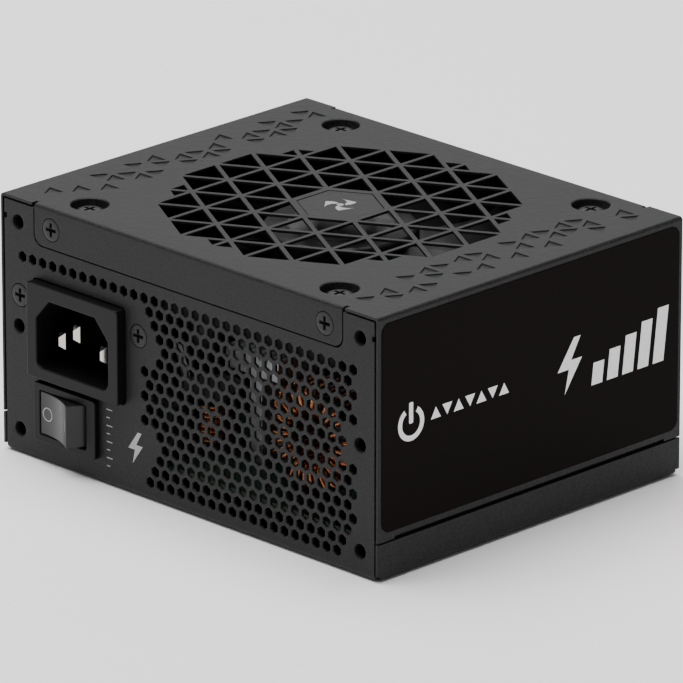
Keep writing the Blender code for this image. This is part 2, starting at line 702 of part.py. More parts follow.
def stickers():
    """The printed film on each side wall, and the badge in the middle of the grille."""
    outline = rounded(-48.9, 48.9, 11.4, 61.8, 2.5)
    inner, outer = HALF_WIDTH + STICKER_GAP, HALF_WIDTH + STICKER_GAP + STICKER
    piece("side_label_right", prism("X", outline, inner, outer), printed_film())
    piece("side_label_left", prism("X", outline, -outer, -inner), printed_film())
    floor = HEIGHT - BADGE_RECESS
    badge = hexagon(0, 0, 2 * BADGE_FLAT - 0.4)
    piece("grille_badge", prism("Z", badge, floor + STICKER_GAP, floor + STICKER_GAP + 0.2), powder_coat())


def boards():
    outline = [(-58, 36), (-58, -33), (-27, -33), (-27, -45), (58, -45), (58, 36)]
    piece("main_board", prism("Z", outline, BOARD_LOW, BOARD_HIGH), circuit_board())
    low, high = SOCKET_BOARD
    piece("socket_board", box(-55, 55, low, high, 5.0, 44.6), circuit_board())
    piece("insulating_sheet", box(-48, 48, -44, 36, 1.3, 1.6), printed_film())


def heatsinks():
    """A T-shaped extrusion on the mains side and a finned plate on the output side."""
    tee = [(0.4, PART_BASE), (4.4, PART_BASE), (4.4, 29.3), (9.9, 29.3), (9.9, 34.7), (-7.6, 34.7)]
    tee += [(-7.6, 29.3), (0.4, 29.3)]
    piece("heatsink_primary", prism("Y", tee, -30, 6), aluminium())
    fins = [(6, 21), (6, 18.5)]
    for index in range(6):
        x = 9 + 7 * index
        fins += [(x, 18.5), (x, 14.5), (x + 1.5, 14.5), (x + 1.5, 18.5)]
    fins += [(52, 18.5), (52, 21)]
    piece("heatsink_secondary", prism("Z", fins, PART_BASE, 33), aluminium())


def wound_parts():
    """The toroid and the drum choke near the vents, and the main transformer."""
    spot = (28.0, 22.6)
    piece("toroid_core", ring("Y", spot, 7.6, 11.8, -37.6, -29.4), ferrite())
    jacket = [(6.0, -39.2), (13.6, -39.2), (13.6, -28.6), (12.1, -28.6), (12.1, -37.9), (7.3, -37.9)]
    jacket += [(7.3, -28.6), (6.0, -28.6)]
    piece("toroid_winding", lathe("Y", spot, jacket, 24), copper())
    drum = [(0, PART_BASE), (7.2, PART_BASE), (7.2, 9.4), (3.6, 9.4)]
    drum += [(3.6, 21.0), (7.2, 21.0), (7.2, 22.4), (0, 22.4)]
    piece("choke_core", lathe("Z", (-14.0, -28.0), drum), ferrite())
    piece("choke_winding", ring("Z", (-14.0, -28.0), 3.9, 6.7, 9.7, 20.7), copper())
    core = rectangle(16, 46, PART_BASE, 36)
    windows = [rectangle(22, 27, 13.5, 30.5), rectangle(35, 40, 13.5, 30.5)]
    piece("transformer_core", prism("Y", core, -8, 8, windows), ferrite())
    coil = rectangle(22.3, 39.7, -12.5, 12.5)
    piece("transformer_winding", prism("Z", coil, 13.8, 30.2, [rectangle(26.7, 35.3, -8.3, 8.3)]), copper())


def capacitor(name, x, y, radius, top):
    """An upright can with a sunk lid."""
    lid = radius - 1.1
    profile = [(0, PART_BASE), (radius, PART_BASE), (radius, top - 0.5), (radius - 0.5, top)]
    profile += [(lid, top), (lid, top - 0.5), (0, top - 0.5)]
    piece(name, lathe("Z", (x, y), profile, 16 if radius < 10 else 24), capacitor_sleeve())


def board_parts():
    capacitor("bulk_capacitor", -40, -6, 15, 42)
    for index in range(4):
        capacitor(f"output_capacitor_{index + 1}", 12 + 12 * index, 28.5, 4.9, 28)
    piece("x_capacitor", box(-25.5, -12.0, -43.5, -37.0, PART_BASE, 21), capacitor_sleeve())
    piece("bridge_rectifier", box(-17.5, -13.5, -12, 10, 11, 29), black_plastic())


def smooth_route(knots, spacing):
    """Evenly spread points along a smooth curve through the knots."""
    knots = np.array(knots, float)
    ends = np.vstack([2 * knots[0] - knots[1], knots, 2 * knots[-1] - knots[-2]])
    dense = []
    for a, b, c, d in zip(ends, ends[1:], ends[2:], ends[3:]):
        for t in np.linspace(0, 1, 24, endpoint=False):
            bend = (2 * a - 5 * b + 4 * c - d) * t * t + (3 * b - a - 3 * c + d) * t ** 3
            dense.append((2 * b + (c - a) * t + bend) / 2)
    dense.append(knots[-1])
    dense = np.array(dense)
    travel = np.concatenate([[0], np.cumsum(np.linalg.norm(np.diff(dense, axis=0), axis=1))])
    count = max(4, round(travel[-1] / spacing))
    return [[np.interp(s, travel, dense[:, i]) for i in range(3)] for s in np.linspace(0, travel[-1], count)]


def wire(name, knots, radius, surface):
    """A held wire: a round tube along its route, closed at both ends."""
    curve = bpy.data.curves.new(name, "CURVE")
    curve.dimensions = "3D"
    curve.bevel_depth = radius * 0.001
    curve.bevel_resolution = 2
    curve.use_fill_caps = True
    route = smooth_route(knots, radius * 5)
    spline = curve.splines.new("POLY")
    spline.points.add(len(route) - 1)
    for point, spot in zip(spline.points, route):
        point.co = (*[value * 0.001 for value in spot], 1)
    curve.materials.append(surface)
    bpy.context.scene.collection.objects.link(bpy.data.objects.new(name, curve))


def wires():
    """The mains wires from the inlet to the switch and the board, and the fan's lead."""
    black = wire_insulation("black", (0.02, 0.02, 0.02))
    live = [(-43, -29.3, 31.2), (-43, -26.4, 30.4), (-44.5, -24.8, 24)]
    live += [(-45.5, -26.5, 16), (-45.5, -30.2, 12.8)]
    wire("wire_live", live, 1.0, black)
    neutral = [(-29, -29.3, 31.2), (-28.8, -26.4, 30), (-26.5, -25, 22)]
    neutral += [(-24.8, -25.5, 14), (-24.5, -26, 8.4)]
    wire("wire_neutral", neutral, 1.0, wire_insulation("white", (0.6, 0.6, 0.58)))
    earth = [(-36, -29.3, 35.1), (-36, -26.4, 36.5), (-44, -25.5, 39), (-53, -28, 39)]
    earth += [(-57.4, -34, 33), (-58, -38, 18), (-58, -39, 2.4)]
    wire("wire_earth", earth, 1.0, wire_insulation("green", (0.05, 0.25, 0.08)))
    lead = [(-47.6, 40, 50), (-50.5, 38, 46), (-54, 34, 34), (-54, 30, 18), (-50, 24, 8.8)]
    wire("fan_lead", lead, 0.9, black)


def build():
    clear_scene()
    top_cover()
    bottom_tray()
    rear_panel()
    connector_panel()
    modular_sockets()
    fasteners()
    inlet()
    rocker_switch()
    fan_frame()
    fan_moving()
    fan_fixed()
    stickers()
    boards()
    heatsinks()
    wound_parts()
    board_parts()
    wires()


build()
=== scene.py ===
import math

import bmesh
import bpy
import numpy as np
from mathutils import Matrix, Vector, geometry


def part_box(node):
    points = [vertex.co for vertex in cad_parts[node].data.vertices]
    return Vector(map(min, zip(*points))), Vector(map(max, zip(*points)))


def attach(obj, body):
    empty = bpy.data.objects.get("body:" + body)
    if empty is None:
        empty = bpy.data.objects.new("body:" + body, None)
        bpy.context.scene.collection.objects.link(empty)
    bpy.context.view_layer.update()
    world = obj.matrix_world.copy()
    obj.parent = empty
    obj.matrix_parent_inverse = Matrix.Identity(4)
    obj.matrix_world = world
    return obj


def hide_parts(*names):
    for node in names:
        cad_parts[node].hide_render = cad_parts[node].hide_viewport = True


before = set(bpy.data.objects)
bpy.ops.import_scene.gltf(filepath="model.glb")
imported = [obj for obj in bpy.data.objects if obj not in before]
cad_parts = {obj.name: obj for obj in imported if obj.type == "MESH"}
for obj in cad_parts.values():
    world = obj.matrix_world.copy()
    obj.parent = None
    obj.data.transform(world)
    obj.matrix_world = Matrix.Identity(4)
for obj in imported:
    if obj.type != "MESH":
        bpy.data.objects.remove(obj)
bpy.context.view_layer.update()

# CAMERA. A long lens from well back, so that the upright edges stay nearly parallel. It looks down at the
# corner between the inlet face and the right side.
aim, distance = Vector((-0.00027, 0.00067, 0.0293)), 2.1067
across, up_by = math.radians(45.117), math.radians(19.847)
back = Vector((math.sin(across) * math.cos(up_by), -math.cos(across) * math.cos(up_by), math.sin(up_by)))
lens = bpy.data.cameras.new("product_camera")
lens.lens, lens.sensor_width = 474.3, 36.0
lens.clip_start, lens.clip_end = 0.1, 50.0
camera = bpy.data.objects.new("product_camera", lens)
camera.location = aim + back * distance
camera.rotation_euler = back.to_track_quat("Z", "Y").to_euler()
bpy.context.scene.collection.objects.link(camera)
bpy.context.scene.camera = camera

# STUDIO. A pale paper floor that runs out of sight, one large soft light overhead, a weak one low behind that
# only the lid's sheen picks up, and a faint one at the front left. The lid is the lightest face of the case,
# and the right side the darkest.


def linear(colour):
    """An sRGB hex colour as linear RGBA."""
    parts = [int(colour[i:i + 2], 16) / 255 for i in (1, 3, 5)]
    return (*[p / 12.92 if p <= 0.04045 else ((p + 0.055) / 1.055) ** 2.4 for p in parts], 1.0)


def add(tree, kind, inputs=None, **settings):
    """Adds a node with its settings, and links or sets its inputs. Another node means its first output."""
    node = tree.nodes.new(kind)
    for name, value in settings.items():
        setattr(node, name, value)
    for key, value in (inputs or {}).items():
        for each in value if isinstance(value, list) else [value]:
            if isinstance(each, bpy.types.Node):
                each = each.outputs[0]
            if isinstance(each, bpy.types.NodeSocket):
                tree.links.new(each, node.inputs[key])
            else:
                node.inputs[key].default_value = each
    return node


def surface(name, colour, roughness, metallic=0.0, **more):
    """A new material, its node tree and its shader, with the plain values on the shader's own sockets."""
    material = bpy.data.materials.new(name)
    material.use_nodes = True
    tree = material.node_tree
    shader = tree.nodes["Principled BSDF"]
    shader.inputs["Base Color"].default_value = linear(colour)
    shader.inputs["Roughness"].default_value = roughness
    shader.inputs["Metallic"].default_value = metallic
    for key, value in more.items():
        shader.inputs[key.replace("_", " ")].default_value = value
    return material, tree, shader


def patterned(made, pattern, relief=None, shades=None, shine=None):
    """Lets a pattern be felt, by its depth in metres and its strength, be seen, from one place and colour to
    another, and vary the roughness from the first value to the second."""
    material, tree, shader = made
    if relief:
        depth, strength = relief
        bump = add(tree, "ShaderNodeBump", {"Height": pattern, "Strength": strength, "Distance": depth})
        tree.links.new(bump.outputs["Normal"], shader.inputs["Normal"])
    if shades:
        ramp = add(tree, "ShaderNodeValToRGB", {"Fac": pattern})
        for element, (place, colour) in zip(ramp.color_ramp.elements, shades):
            element.position, element.color = place, linear(colour)
        tree.links.new(ramp.outputs["Color"], shader.inputs["Base Color"])
    if shine:
        rough = add(tree, "ShaderNodeMapRange", {"Value": pattern, "To Min": shine[0], "To Max": shine[1]})
        tree.links.new(rough.outputs["Result"], shader.inputs["Roughness"])
    return material


# Uncoated paper: a flat white without shine, on which shadows stay soft.
paper = surface("white_studio_paper", "#FFFFFF", 0.9)
fibres = add(paper[1], "ShaderNodeTexNoise", {"Scale": 220.0, "Detail": 3.0})
floor_mesh = bpy.data.meshes.new("floor")
floor_mesh.from_pydata([(-6, -6, 0), (6, -6, 0), (6, 6, 0), (-6, 6, 0)], [], [(0, 1, 2, 3)])
floor_mesh.materials.append(patterned(paper, fibres, relief=(0.0001, 0.3)))
floor = bpy.data.objects.new("floor", floor_mesh)
floor.location.z = -0.0004
bpy.context.scene.collection.objects.link(floor)

world = bpy.data.worlds.new("studio")
world.use_nodes = True
world.node_tree.nodes["Background"].inputs["Color"].default_value = linear("#FFFFFF")
world.node_tree.nodes["Background"].inputs["Strength"].default_value = 0.25
bpy.context.scene.world = world

for name, place, size, power in (
    ("overhead_softbox", (-0.25, -0.1, 1.5), 1.4, 45.0),
    ("low_back_softbox", (-1.3, 1.3, 0.75), 1.2, 5.5),
    ("front_left_softbox", (-1.1, -1.3, 0.6), 0.7, 1.0),
):
    light = bpy.data.lights.new(name, "AREA")
    light.size, light.energy = size, power
    lamp = bpy.data.objects.new(name, light)
    lamp.location = place
    lamp.rotation_euler = (Vector(place) - Vector((0, 0, 0.03))).to_track_quat("Z", "Y").to_euler()
    bpy.context.scene.collection.objects.link(lamp)

# FOLDED TRAY. The bottom half of the case is one sheet of 0.8 mm steel: a floor, two low side lips and two
# full end panels, punched and folded up. The inlet face has the honeycomb and six tapped collars, the other
# end the socket windows. Above both, a strip steps inwards for the cover's flange. It is powder coated.


# Baked black powder coat: a soft sheen broken up by grains about 0.4 mm across, on a film that ripples every
# 2 mm, like very fine orange peel.
coat = surface("black_powder_coat", "#1A1A1B", 0.5, Specular_IOR_Level=0.22)
tree = coat[1]
where = add(tree, "ShaderNodeTexCoord").outputs["Object"]
grains = add(tree, "ShaderNodeTexNoise", {"Vector": where, "Scale": 2400.0, "Detail": 2.0, "Roughness": 0.6})
ripples = add(tree, "ShaderNodeTexNoise", {"Vector": where, "Scale": 500.0, "Detail": 1.0})
peel = add(tree, "ShaderNodeMath", {0: grains, 1: ripples}, operation="ADD")
patterned(coat, grains, shades=((0.36, "#101011"), (0.64, "#262627")), shine=(0.44, 0.6))
coat = patterned(coat, peel, relief=(0.00007, 0.9))


def circle(x, y, radius, count, start=0.0):
    turns = [start + math.tau * step / count for step in range(count)]
    return [(x + radius * math.cos(turn), y + radius * math.sin(turn)) for turn in turns]


def rounded(left, right, low, high, radius, steps=5):
    """A rectangle with rounded corners, counter-clockwise from the right edge's top."""
    corners = ((right - radius, high - radius), (left + radius, high - radius))
    corners += ((left + radius, low + radius), (right - radius, low + radius))
    points = []
    for quarter, (x, y) in enumerate(corners):
        for step in range(steps + 1):
            turn = math.pi / 2 * (quarter + step / steps)
            points.append((x + radius * math.cos(turn), y + radius * math.sin(turn)))
    return points


class Skin:
    """A surface in millimetres. Faces laid on the same points share them, so a fold stays one sheet."""

    def __init__(self):
        self.bm = bmesh.new()
        self.known = {}
        self.slot = 0

    def at(self, point):
        key = tuple(round(value, 3) for value in point)
        if key not in self.known:
            self.known[key] = self.bm.verts.new(point)
        return self.known[key]

    def face(self, points):
        corners = list(dict.fromkeys(self.at(point) for point in points))
        if len(corners) > 2:
            self.bm.faces.new(corners).material_index = self.slot

    def strip(self, rows, closed=False):
        """Four-sided faces between each row of points and the next."""
        for first, second in zip(rows, rows[1:]):
            for step in range(len(first) - (0 if closed else 1)):
                after = (step + 1) % len(first)
                self.face((first[step], first[after], second[after], second[step]))

    def flat(self, lift, loops, height):
        """A flat face of triangles between an outline and the holes in it. lift puts a drawing's point in its
        place, from its two coordinates and its height."""
        rims, first = [], 0
        for loop in loops:
            area = sum(a[0] * b[1] - b[0] * a[1] for a, b in zip(loop, loop[1:] + loop[:1]))
            rim = list(range(first, first + len(loop)))
            rims.append(rim if area > 0 else rim[::-1])
            first += len(loop)
        drawing = [Vector(point) for loop in loops for point in loop]
        points, _, faces, _, _, owners = geometry.delaunay_2d_cdt(drawing, [], rims, 1, 1e-6)
        for face, owner in zip(faces, owners):
            if list(owner) == [0]:
                self.face([lift(*points[index], height) for index in face])

    def take(self, lift, mesh, height):
        """The faces of a flat mesh, laid at this height."""
        for polygon in mesh.polygons:
            self.face([lift(*mesh.vertices[index].co[:2], height) for index in polygon.vertices])

    def walls(self, lift, outline, sizes):
        """The sides of an outline, sized about the origin, from its size and height in each row."""
        rows = [[lift(x * size, y * size, height) for x, y in outline] for size, height in sizes]
        self.strip(rows, closed=True)
        return rows[-1]

    def rings(self, lift, centre, profile, count, start=0.0):
        """Circles about a centre, each joined to the next, from a profile of radius and height."""
        rows = [[lift(x, y, height) for x, y in circle(*centre, radius, count, start)]
                for radius, height in profile]
        self.strip(rows, closed=True)
        return rows[-1]

    def prism(self, lift, outline, low, high, holes=()):
        """A closed straight-sided body, on points of its own."""
        self.known = {}
        for height in (low, high):
            self.flat(lift, [outline, *holes], height)
        for loop in (outline, *holes):
            self.walls(lift, loop, ((1, low), (1, high)))

    def turned(self, lift, centre, profile, count):
        """A turned body whose profile starts and ends at its centre, on points of its own."""
        self.known = {}
        self.rings(lift, centre, profile, count)


def upright(x, y, height):
    return (x, y, height)


def facing(x, z, depth):
    """Puts a drawing of an end face in place, seen along Y."""
    return (x, depth, z)


def piece(name, skin, materials, crease=32):
    """The finished object, in metres, shaded smooth but for its creases."""
    bmesh.ops.scale(skin.bm, vec=(0.001, 0.001, 0.001), verts=skin.bm.verts)
    mesh = bpy.data.meshes.new(name)
    skin.bm.to_mesh(mesh)
    skin.bm.free()
    for material in materials:
        mesh.materials.append(material)
    mesh.shade_smooth()
    mesh.set_sharp_from_angle(angle=math.radians(crease))
    made = bpy.data.objects.new(name, mesh)
    bpy.context.scene.collection.objects.link(made)
    return made


def ease(made, width, segments, angle):
    """Softens the sharp edges, and keeps the flat faces between them looking flat."""
    eased = made.modifiers.new("eased_edges", "BEVEL")
    eased.width, eased.segments = width * 0.001, segments
    eased.limit_method, eased.angle_limit = "ANGLE", math.radians(angle)
    flat = made.modifiers.new("flat_faces", "WEIGHTED_NORMAL")
    flat.keep_sharp, flat.weight = True, 90


def closed_piece(name, skin, materials, edge=0.0, steps=2, crease=32):
    """A solid piece, with its sharp edges eased by this many millimetres."""
    bmesh.ops.recalc_face_normals(skin.bm, faces=skin.bm.faces)
    if edge:
        bmesh.ops.dissolve_limit(skin.bm, angle_limit=0.002, verts=skin.bm.verts, edges=skin.bm.edges,
                                 delimit={"MATERIAL"})
    made = piece(name, skin, materials, crease)
    if edge:
        ease(made, edge, steps, 40)
    return made


def folded_piece(name, skin, outward, materials, thickness=0.8, edge=0.1):
    """A sheet given its thickness on the inner side, with the coating's softness on its cut edges."""
    bmesh.ops.recalc_face_normals(skin.bm, faces=skin.bm.faces)
    widest = max(skin.bm.faces, key=lambda face: face.calc_area())
    if widest.normal.dot(Vector(outward)) < 0:
        bmesh.ops.reverse_faces(skin.bm, faces=skin.bm.faces)
    made = piece(name, skin, materials)
    solid = made.modifiers.new("sheet_thickness", "SOLIDIFY")
    solid.thickness, solid.offset, solid.use_even_offset = thickness * 0.001, -1.0, True
    ease(made, edge, 2, 50)
    return made


def fit(made, slot, body, *nodes):
    """The body the piece moves with, and the plain nodes it stands for, which it hides. The slot, the record's
    slot for the finish, is not used.
    """
    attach(made, body)
    if nodes:
        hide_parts(*nodes)


def new_tree(name, **sockets):
    """An empty Geometry Nodes tree with its named inputs, and the sockets they come out of."""
    tree = bpy.data.node_groups.new(name, "GeometryNodeTree")
    tree.interface.new_socket("Geometry", in_out="INPUT", socket_type="NodeSocketGeometry")
    tree.interface.new_socket("Geometry", in_out="OUTPUT", socket_type="NodeSocketGeometry")
    for label, kind in sockets.items():
        tree.interface.new_socket(label.replace("_", " "), in_out="INPUT", socket_type=f"NodeSocket{kind}")
    return tree, add(tree, "NodeGroupInput").outputs


def end_tree(tree, result, material, chosen=True):
    """Realises the instances, gives the chosen faces their material and closes the tree."""
    real = add(tree, "GeometryNodeRealizeInstances", {"Geometry": result})
    coated = add(tree, "GeometryNodeSetMaterial", {
        "Geometry": real, "Selection": chosen, "Material": material})
    add(tree, "NodeGroupOutput", {0: coated})
    return tree


def grown(name, mesh, tree, values):
    """The plain mesh that a tree makes from this one with these inputs, still in millimetres."""
    seed = bpy.data.objects.new(name, mesh)
    bpy.context.scene.collection.objects.link(seed)
    modifier = seed.modifiers.new(name, "NODES")
    modifier.node_group = tree
    for item in tree.interface.items_tree:
        if item.in_out == "INPUT" and item.name in values:
            modifier[item.identifier] = values[item.name]
    graph = bpy.context.evaluated_depsgraph_get()
    made = bpy.data.meshes.new_from_object(seed.evaluated_get(graph))
    made.name = name
    bpy.data.objects.remove(seed)
    return made


def staggered(tree, given, lines, count):
    """Points in straight lines, every other line moved on by half a step. Gives the points' number, the
    place along the line, the place of the line, and the line's number."""
    index = add(tree, "GeometryNodeInputIndex")
    share = add(tree, "ShaderNodeMath", {0: index, 1: count}, operation="DIVIDE")
    line = add(tree, "ShaderNodeMath", {0: share}, operation="FLOOR")
    number = add(tree, "ShaderNodeMath", {0: index, 1: count}, operation="MODULO")
    odd = add(tree, "ShaderNodeMath", {0: line, 1: 1.0}, operation="PINGPONG")
    moved = add(tree, "ShaderNodeMath", {0: odd, 1: 0.5, 2: number}, operation="MULTIPLY_ADD")
    along = add(tree, "ShaderNodeMath", {0: moved, 1: given["Step"], 2: given["First"]},
                operation="MULTIPLY_ADD")
    beside = add(tree, "ShaderNodeMath", {0: line, 1: given["Line step"], 2: given["First line"]},
                 operation="MULTIPLY_ADD")
    return lines * count, along, beside, line


def punched_tree(name, openings_of, *sizes):
    """Fills the outlines it is given as one blank, with rows of openings punched through."""
    sizes = ("Step", "First", "Line_step", "First_line", *sizes)
    tree, given = new_tree(name, **dict.fromkeys(sizes, "Float"), Material="Material")
    outline = add(tree, "GeometryNodeMeshToCurve", {"Mesh": given["Geometry"]})
    openings = add(tree, "GeometryNodeRealizeInstances", {"Geometry": openings_of(tree, given)})
    joined = add(tree, "GeometryNodeJoinGeometry", {0: [outline, openings]})
    return end_tree(tree, add(tree, "GeometryNodeFillCurve", {"Curve": joined}), given["Material"])


def outline_mesh(name, loops, lift=upright):
    """Closed outlines as edges, for a tree that fills or follows them."""
    points, edges = [], []
    for loop in loops:
        first, count = len(points), len(loop)
        points += [lift(x, y, 0) for x, y in loop]
        edges += [(first + step, first + (step + 1) % count) for step in range(count)]
    mesh = bpy.data.meshes.new(name)
    mesh.from_pydata(points, edges, [])
    return mesh


# Steel left unpunched about each right-hand collar, the inlet's ear and the printed bolt: middle and radius.
plain_areas = ((56.5, 6.0, 5.5), (56.5, 31.75, 5.5), (56.5, 57.5, 5.5), (-16.4, 39.5, 6.7),
               (-17.4, 12.0, 7.5))


def honeycomb(tree, given):
    """Staggered rows of hexagons. The top row runs right across, and the others stop beside the inlet."""
    count, along, beside, line = staggered(tree, given, 16, 33)
    place = add(tree, "ShaderNodeCombineXYZ", {"X": along, "Y": beside})
    points = add(tree, "GeometryNodePoints", {"Count": count, "Position": place})
    where = add(tree, "GeometryNodeInputPosition")
    across = add(tree, "ShaderNodeSeparateXYZ", {0: where})
    struck = add(tree, "ShaderNodeMath", {0: across, 1: given["Left limit"]}, operation="LESS_THAN")
    rules = [add(tree, "ShaderNodeMath", {0: across, 1: given["Right limit"]}, operation="GREATER_THAN")]
    for x, z, radius in plain_areas:
        away = add(tree, "ShaderNodeVectorMath", {0: where, 1: (x, z, 0)}, operation="DISTANCE")
        away = away.outputs["Value"]
        rules.append(add(tree, "ShaderNodeMath", {0: away, 1: radius}, operation="LESS_THAN"))
    for rule in rules:
        struck = add(tree, "ShaderNodeMath", {0: struck, 1: rule}, operation="MAXIMUM")
    lower = add(tree, "ShaderNodeMath", {0: line, 1: 0.5}, operation="GREATER_THAN")
    struck = add(tree, "ShaderNodeMath", {0: struck, 1: lower}, operation="MULTIPLY")
    kept = add(tree, "GeometryNodeDeleteGeometry", {"Geometry": points, "Selection": struck})
    radius = add(tree, "ShaderNodeMath", {0: given["Across flats"], 1: math.sqrt(3)}, operation="DIVIDE")
    cell = add(tree, "GeometryNodeCurvePrimitiveCircle", {"Resolution": 6, "Radius": radius})
    return add(tree, "GeometryNodeInstanceOnPoints", {
        "Points": kept, "Instance": cell, "Rotation": (0, 0, math.pi / 6)})


bend = 1.2
half_x, half_y = (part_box("bottom_tray")[1][axis] * 1000 for axis in (0, 1))
lip_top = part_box("bottom_tray")[1].z * 1000
panel_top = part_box("rear_panel")[1].z * 1000
foot_x, foot_y = half_x - bend, half_y - bend
step_x, step_z, step_round, step_in = 51.1, 53.3, 2.7, 1.1
notch_low, notch_high, notch_depth = 57.6, 58.9, 0.8
panel_side = [(foot_x, bend), (foot_x, notch_low), (foot_x - notch_depth, notch_low)]
panel_side += [(foot_x - notch_depth, notch_high), (foot_x, notch_high), (foot_x, panel_top)]
panel_side.append((step_x, panel_top))
for share in range(6):
    turn = -math.pi / 2 * share / 5
    across, up = step_round * math.cos(turn), step_round * (1 + math.sin(turn))
    panel_side.append((step_x - step_round + across, step_z + up))
panel_outline = panel_side + [(-x, z) for x, z in panel_side[::-1]]
collars = [(side * 56.5, z) for side in (-1, 1) for z in (6.0, 31.75, 57.5)]
collar_bore, inlet_hole = 2.1, 2.9
inlet_ears = [(-56.0, 39.5), (-16.0, 39.5)]
flange_screws = [(-45.2, 58.2), (45.2, 58.2)]
inlet_opening, switch_opening = rounded(-51.7, -20.3, 21.1, 45.2, 1.2), rounded(-49.25, -30.3, 6.0, 19.6, 0.4)
inlet_outlines = [panel_outline, inlet_opening, switch_opening]
inlet_outlines += [circle(*spot, inlet_hole, 28) for spot in inlet_ears]
inlet_outlines += [circle(*spot, collar_bore, 24) for spot in collars]
vent_tree = punched_tree("vented_panel", honeycomb, "Left_limit", "Right_limit", "Across_flats")
inlet_blank = grown("inlet_blank", outline_mesh("inlet_outlines", inlet_outlines), vent_tree, {
    "Step": 3.415, "First": -55.04, "Line step": -3.0, "First line": 49.3, "Left limit": -14.5,
    "Right limit": 55.0, "Across flats": 2.45, "Material": coat})

# Name, contacts in a row, and the middle of each modular socket.
sockets = [("socket_board_18", 9, -20.0, 39.2), ("socket_board_10", 5, 22.0, 39.2)]
sockets += [(f"socket_power_8_{n + 1}", 4, -30.0 + 30.0 * n, 25.7) for n in range(3)]
sockets += [(f"socket_drive_6_{n + 1}", 3, -18.0 + 36.0 * n, 12.2) for n in range(2)]
half_contact, window_margin, window_half_height = 2.1, 0.9, 5.1
windows = []
for _, contacts, x, z in sockets:
    half, tall = half_contact * contacts + window_margin, window_half_height
    windows.append(rounded(x - half, x + half, z - tall, z + tall, 0.4, 3))

arc = [(bend * math.sin(turn), bend * math.cos(turn)) for turn in np.linspace(0, math.pi / 2, 5)]
tray = Skin()
stand_offs = [(x, y) for x in (-52, 52) for y in (-30, 30)]
dimple = ((3.2, 0), (2.4, 0.25), (1.7, 1.2), (1.6, 4.9), (0.8, 4.9))
floor_outline = [(foot_x, -foot_y), (foot_x, foot_y), (-foot_x, foot_y), (-foot_x, -foot_y)]
tray.flat(upright, [floor_outline] + [circle(*spot, dimple[0][0], 24) for spot in stand_offs], 0)
for spot in stand_offs:
    tray.rings(upright, spot, dimple, 24)
rail_end, rail_top = 48.4, 61.0
for side in (-1, 1):
    tray.strip([[(side * (foot_x + out), y, bend - down) for y in (-foot_y, foot_y)] for out, down in arc])
    ends = (-half_y, -foot_y, foot_y, half_y)
    tray.strip([[(side * half_x, y, z) for y in ends] for z in (bend, lip_top)])
    tray.strip([[(x, side * (foot_y + out), bend - down) for x in (-foot_x, foot_x)] for out, down in arc])
    strip_face = side * (half_y - step_in)
    low_edge = [(-step_x + step_round, step_z), (step_x - step_round, step_z)]
    tray.strip([[(x, y, z) for x, z in low_edge] for y in (side * half_y, strip_face)])
    tapped = [circle(*spot, 1.6, 20) for spot in flange_screws]
    tray.flat(facing, [[*low_edge, (rail_end, rail_top), (-rail_end, rail_top)], *tapped], strip_face)
tray.take(facing, inlet_blank, -half_y)
collar = ((collar_bore, 0), (1.85, 0.1), (1.75, 0.3), (1.75, 1.6))
for spot in collars:
    tray.rings(facing, spot, [(radius, depth - half_y) for radius, depth in collar], 24)
tray.flat(facing, [panel_outline] + windows, half_y)
case_tray = folded_piece("folded_tray", tray, (0, 0, -1), [coat])
fit(case_tray, "powder_coat", "case", "bottom_tray", "rear_panel", "connector_panel")

# INSULATING FILM. A thin black polypropylene sheet lies on the tray's floor under the board, so that no
# solder joint can touch the steel. It is smooth, with a faint calendered ripple.


def refinish(material, *names):
    """Gives plain nodes whose shape is right the finish of the real ones."""
    for name in names:
        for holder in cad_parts[name].material_slots:
            holder.material = material


def grained(name, colour, roughness, scale, detail, relief=None, shades=None, shine=None, **more):
    """A material with a fine, uneven grain. The scale is in grains a metre."""
    made = surface(name, colour, roughness, **more)
    where = add(made[1], "ShaderNodeTexCoord").outputs["Object"]
    grain = add(made[1], "ShaderNodeTexNoise", {"Vector": where, "Scale": scale, "Detail": detail})
    return patterned(made, grain, relief, shades, shine)


# Calendered film: black with a clear, slightly wavy shine, from a ripple about 11 mm long.
film = grained("black_polypropylene_film", "#17171A", 0.3, 90.0, 1.0, relief=(0.0002, 0.4))
refinish(film, "insulating_sheet")

# MAIN BOARD AND SOCKET BOARD. Glass-epoxy board 1.6 mm thick under a dark green solder mask. Copper tracks
# nearly 2 mm wide show through it as slightly raised, lighter lines. The corner by the inlet is cut away.

# Solder mask: a glassy dark green, in which the covered tracks stand out a little.
mask = surface("dark_green_solder_mask", "#12301F", 0.35)
tracks = add(mask[1], "ShaderNodeTexBrick", {
    "Vector": add(mask[1], "ShaderNodeTexCoord").outputs["Object"], "Scale": 260.0, "Mortar Size": 0.06,
    "Brick Width": 2.6, "Row Height": 0.5}).outputs["Fac"]
mask = patterned(mask, tracks, relief=(0.00005, 0.6), shades=((0.0, "#173A25"), (1.0, "#0C2417")))
refinish(mask, "socket_board")
board = Skin()
board_outline = [(-58, 36), (-58, -33), (-27, -33), (-27, -45), (58, -45), (58, 36)]
board_low, board_top, part_foot = 6.0, 7.6, 7.9
board.prism(upright, board_outline, board_low, board_top)
fit(closed_piece("green_main_board", board, [mask], 0.15), "circuit_board", "case", "main_board")

# HEATSINKS. Extruded aluminium, left bare: a T on the mains side with a fluted top, and an upright plate with
# six fins on the output side. Fine die lines about 0.3 mm apart run the length of each.

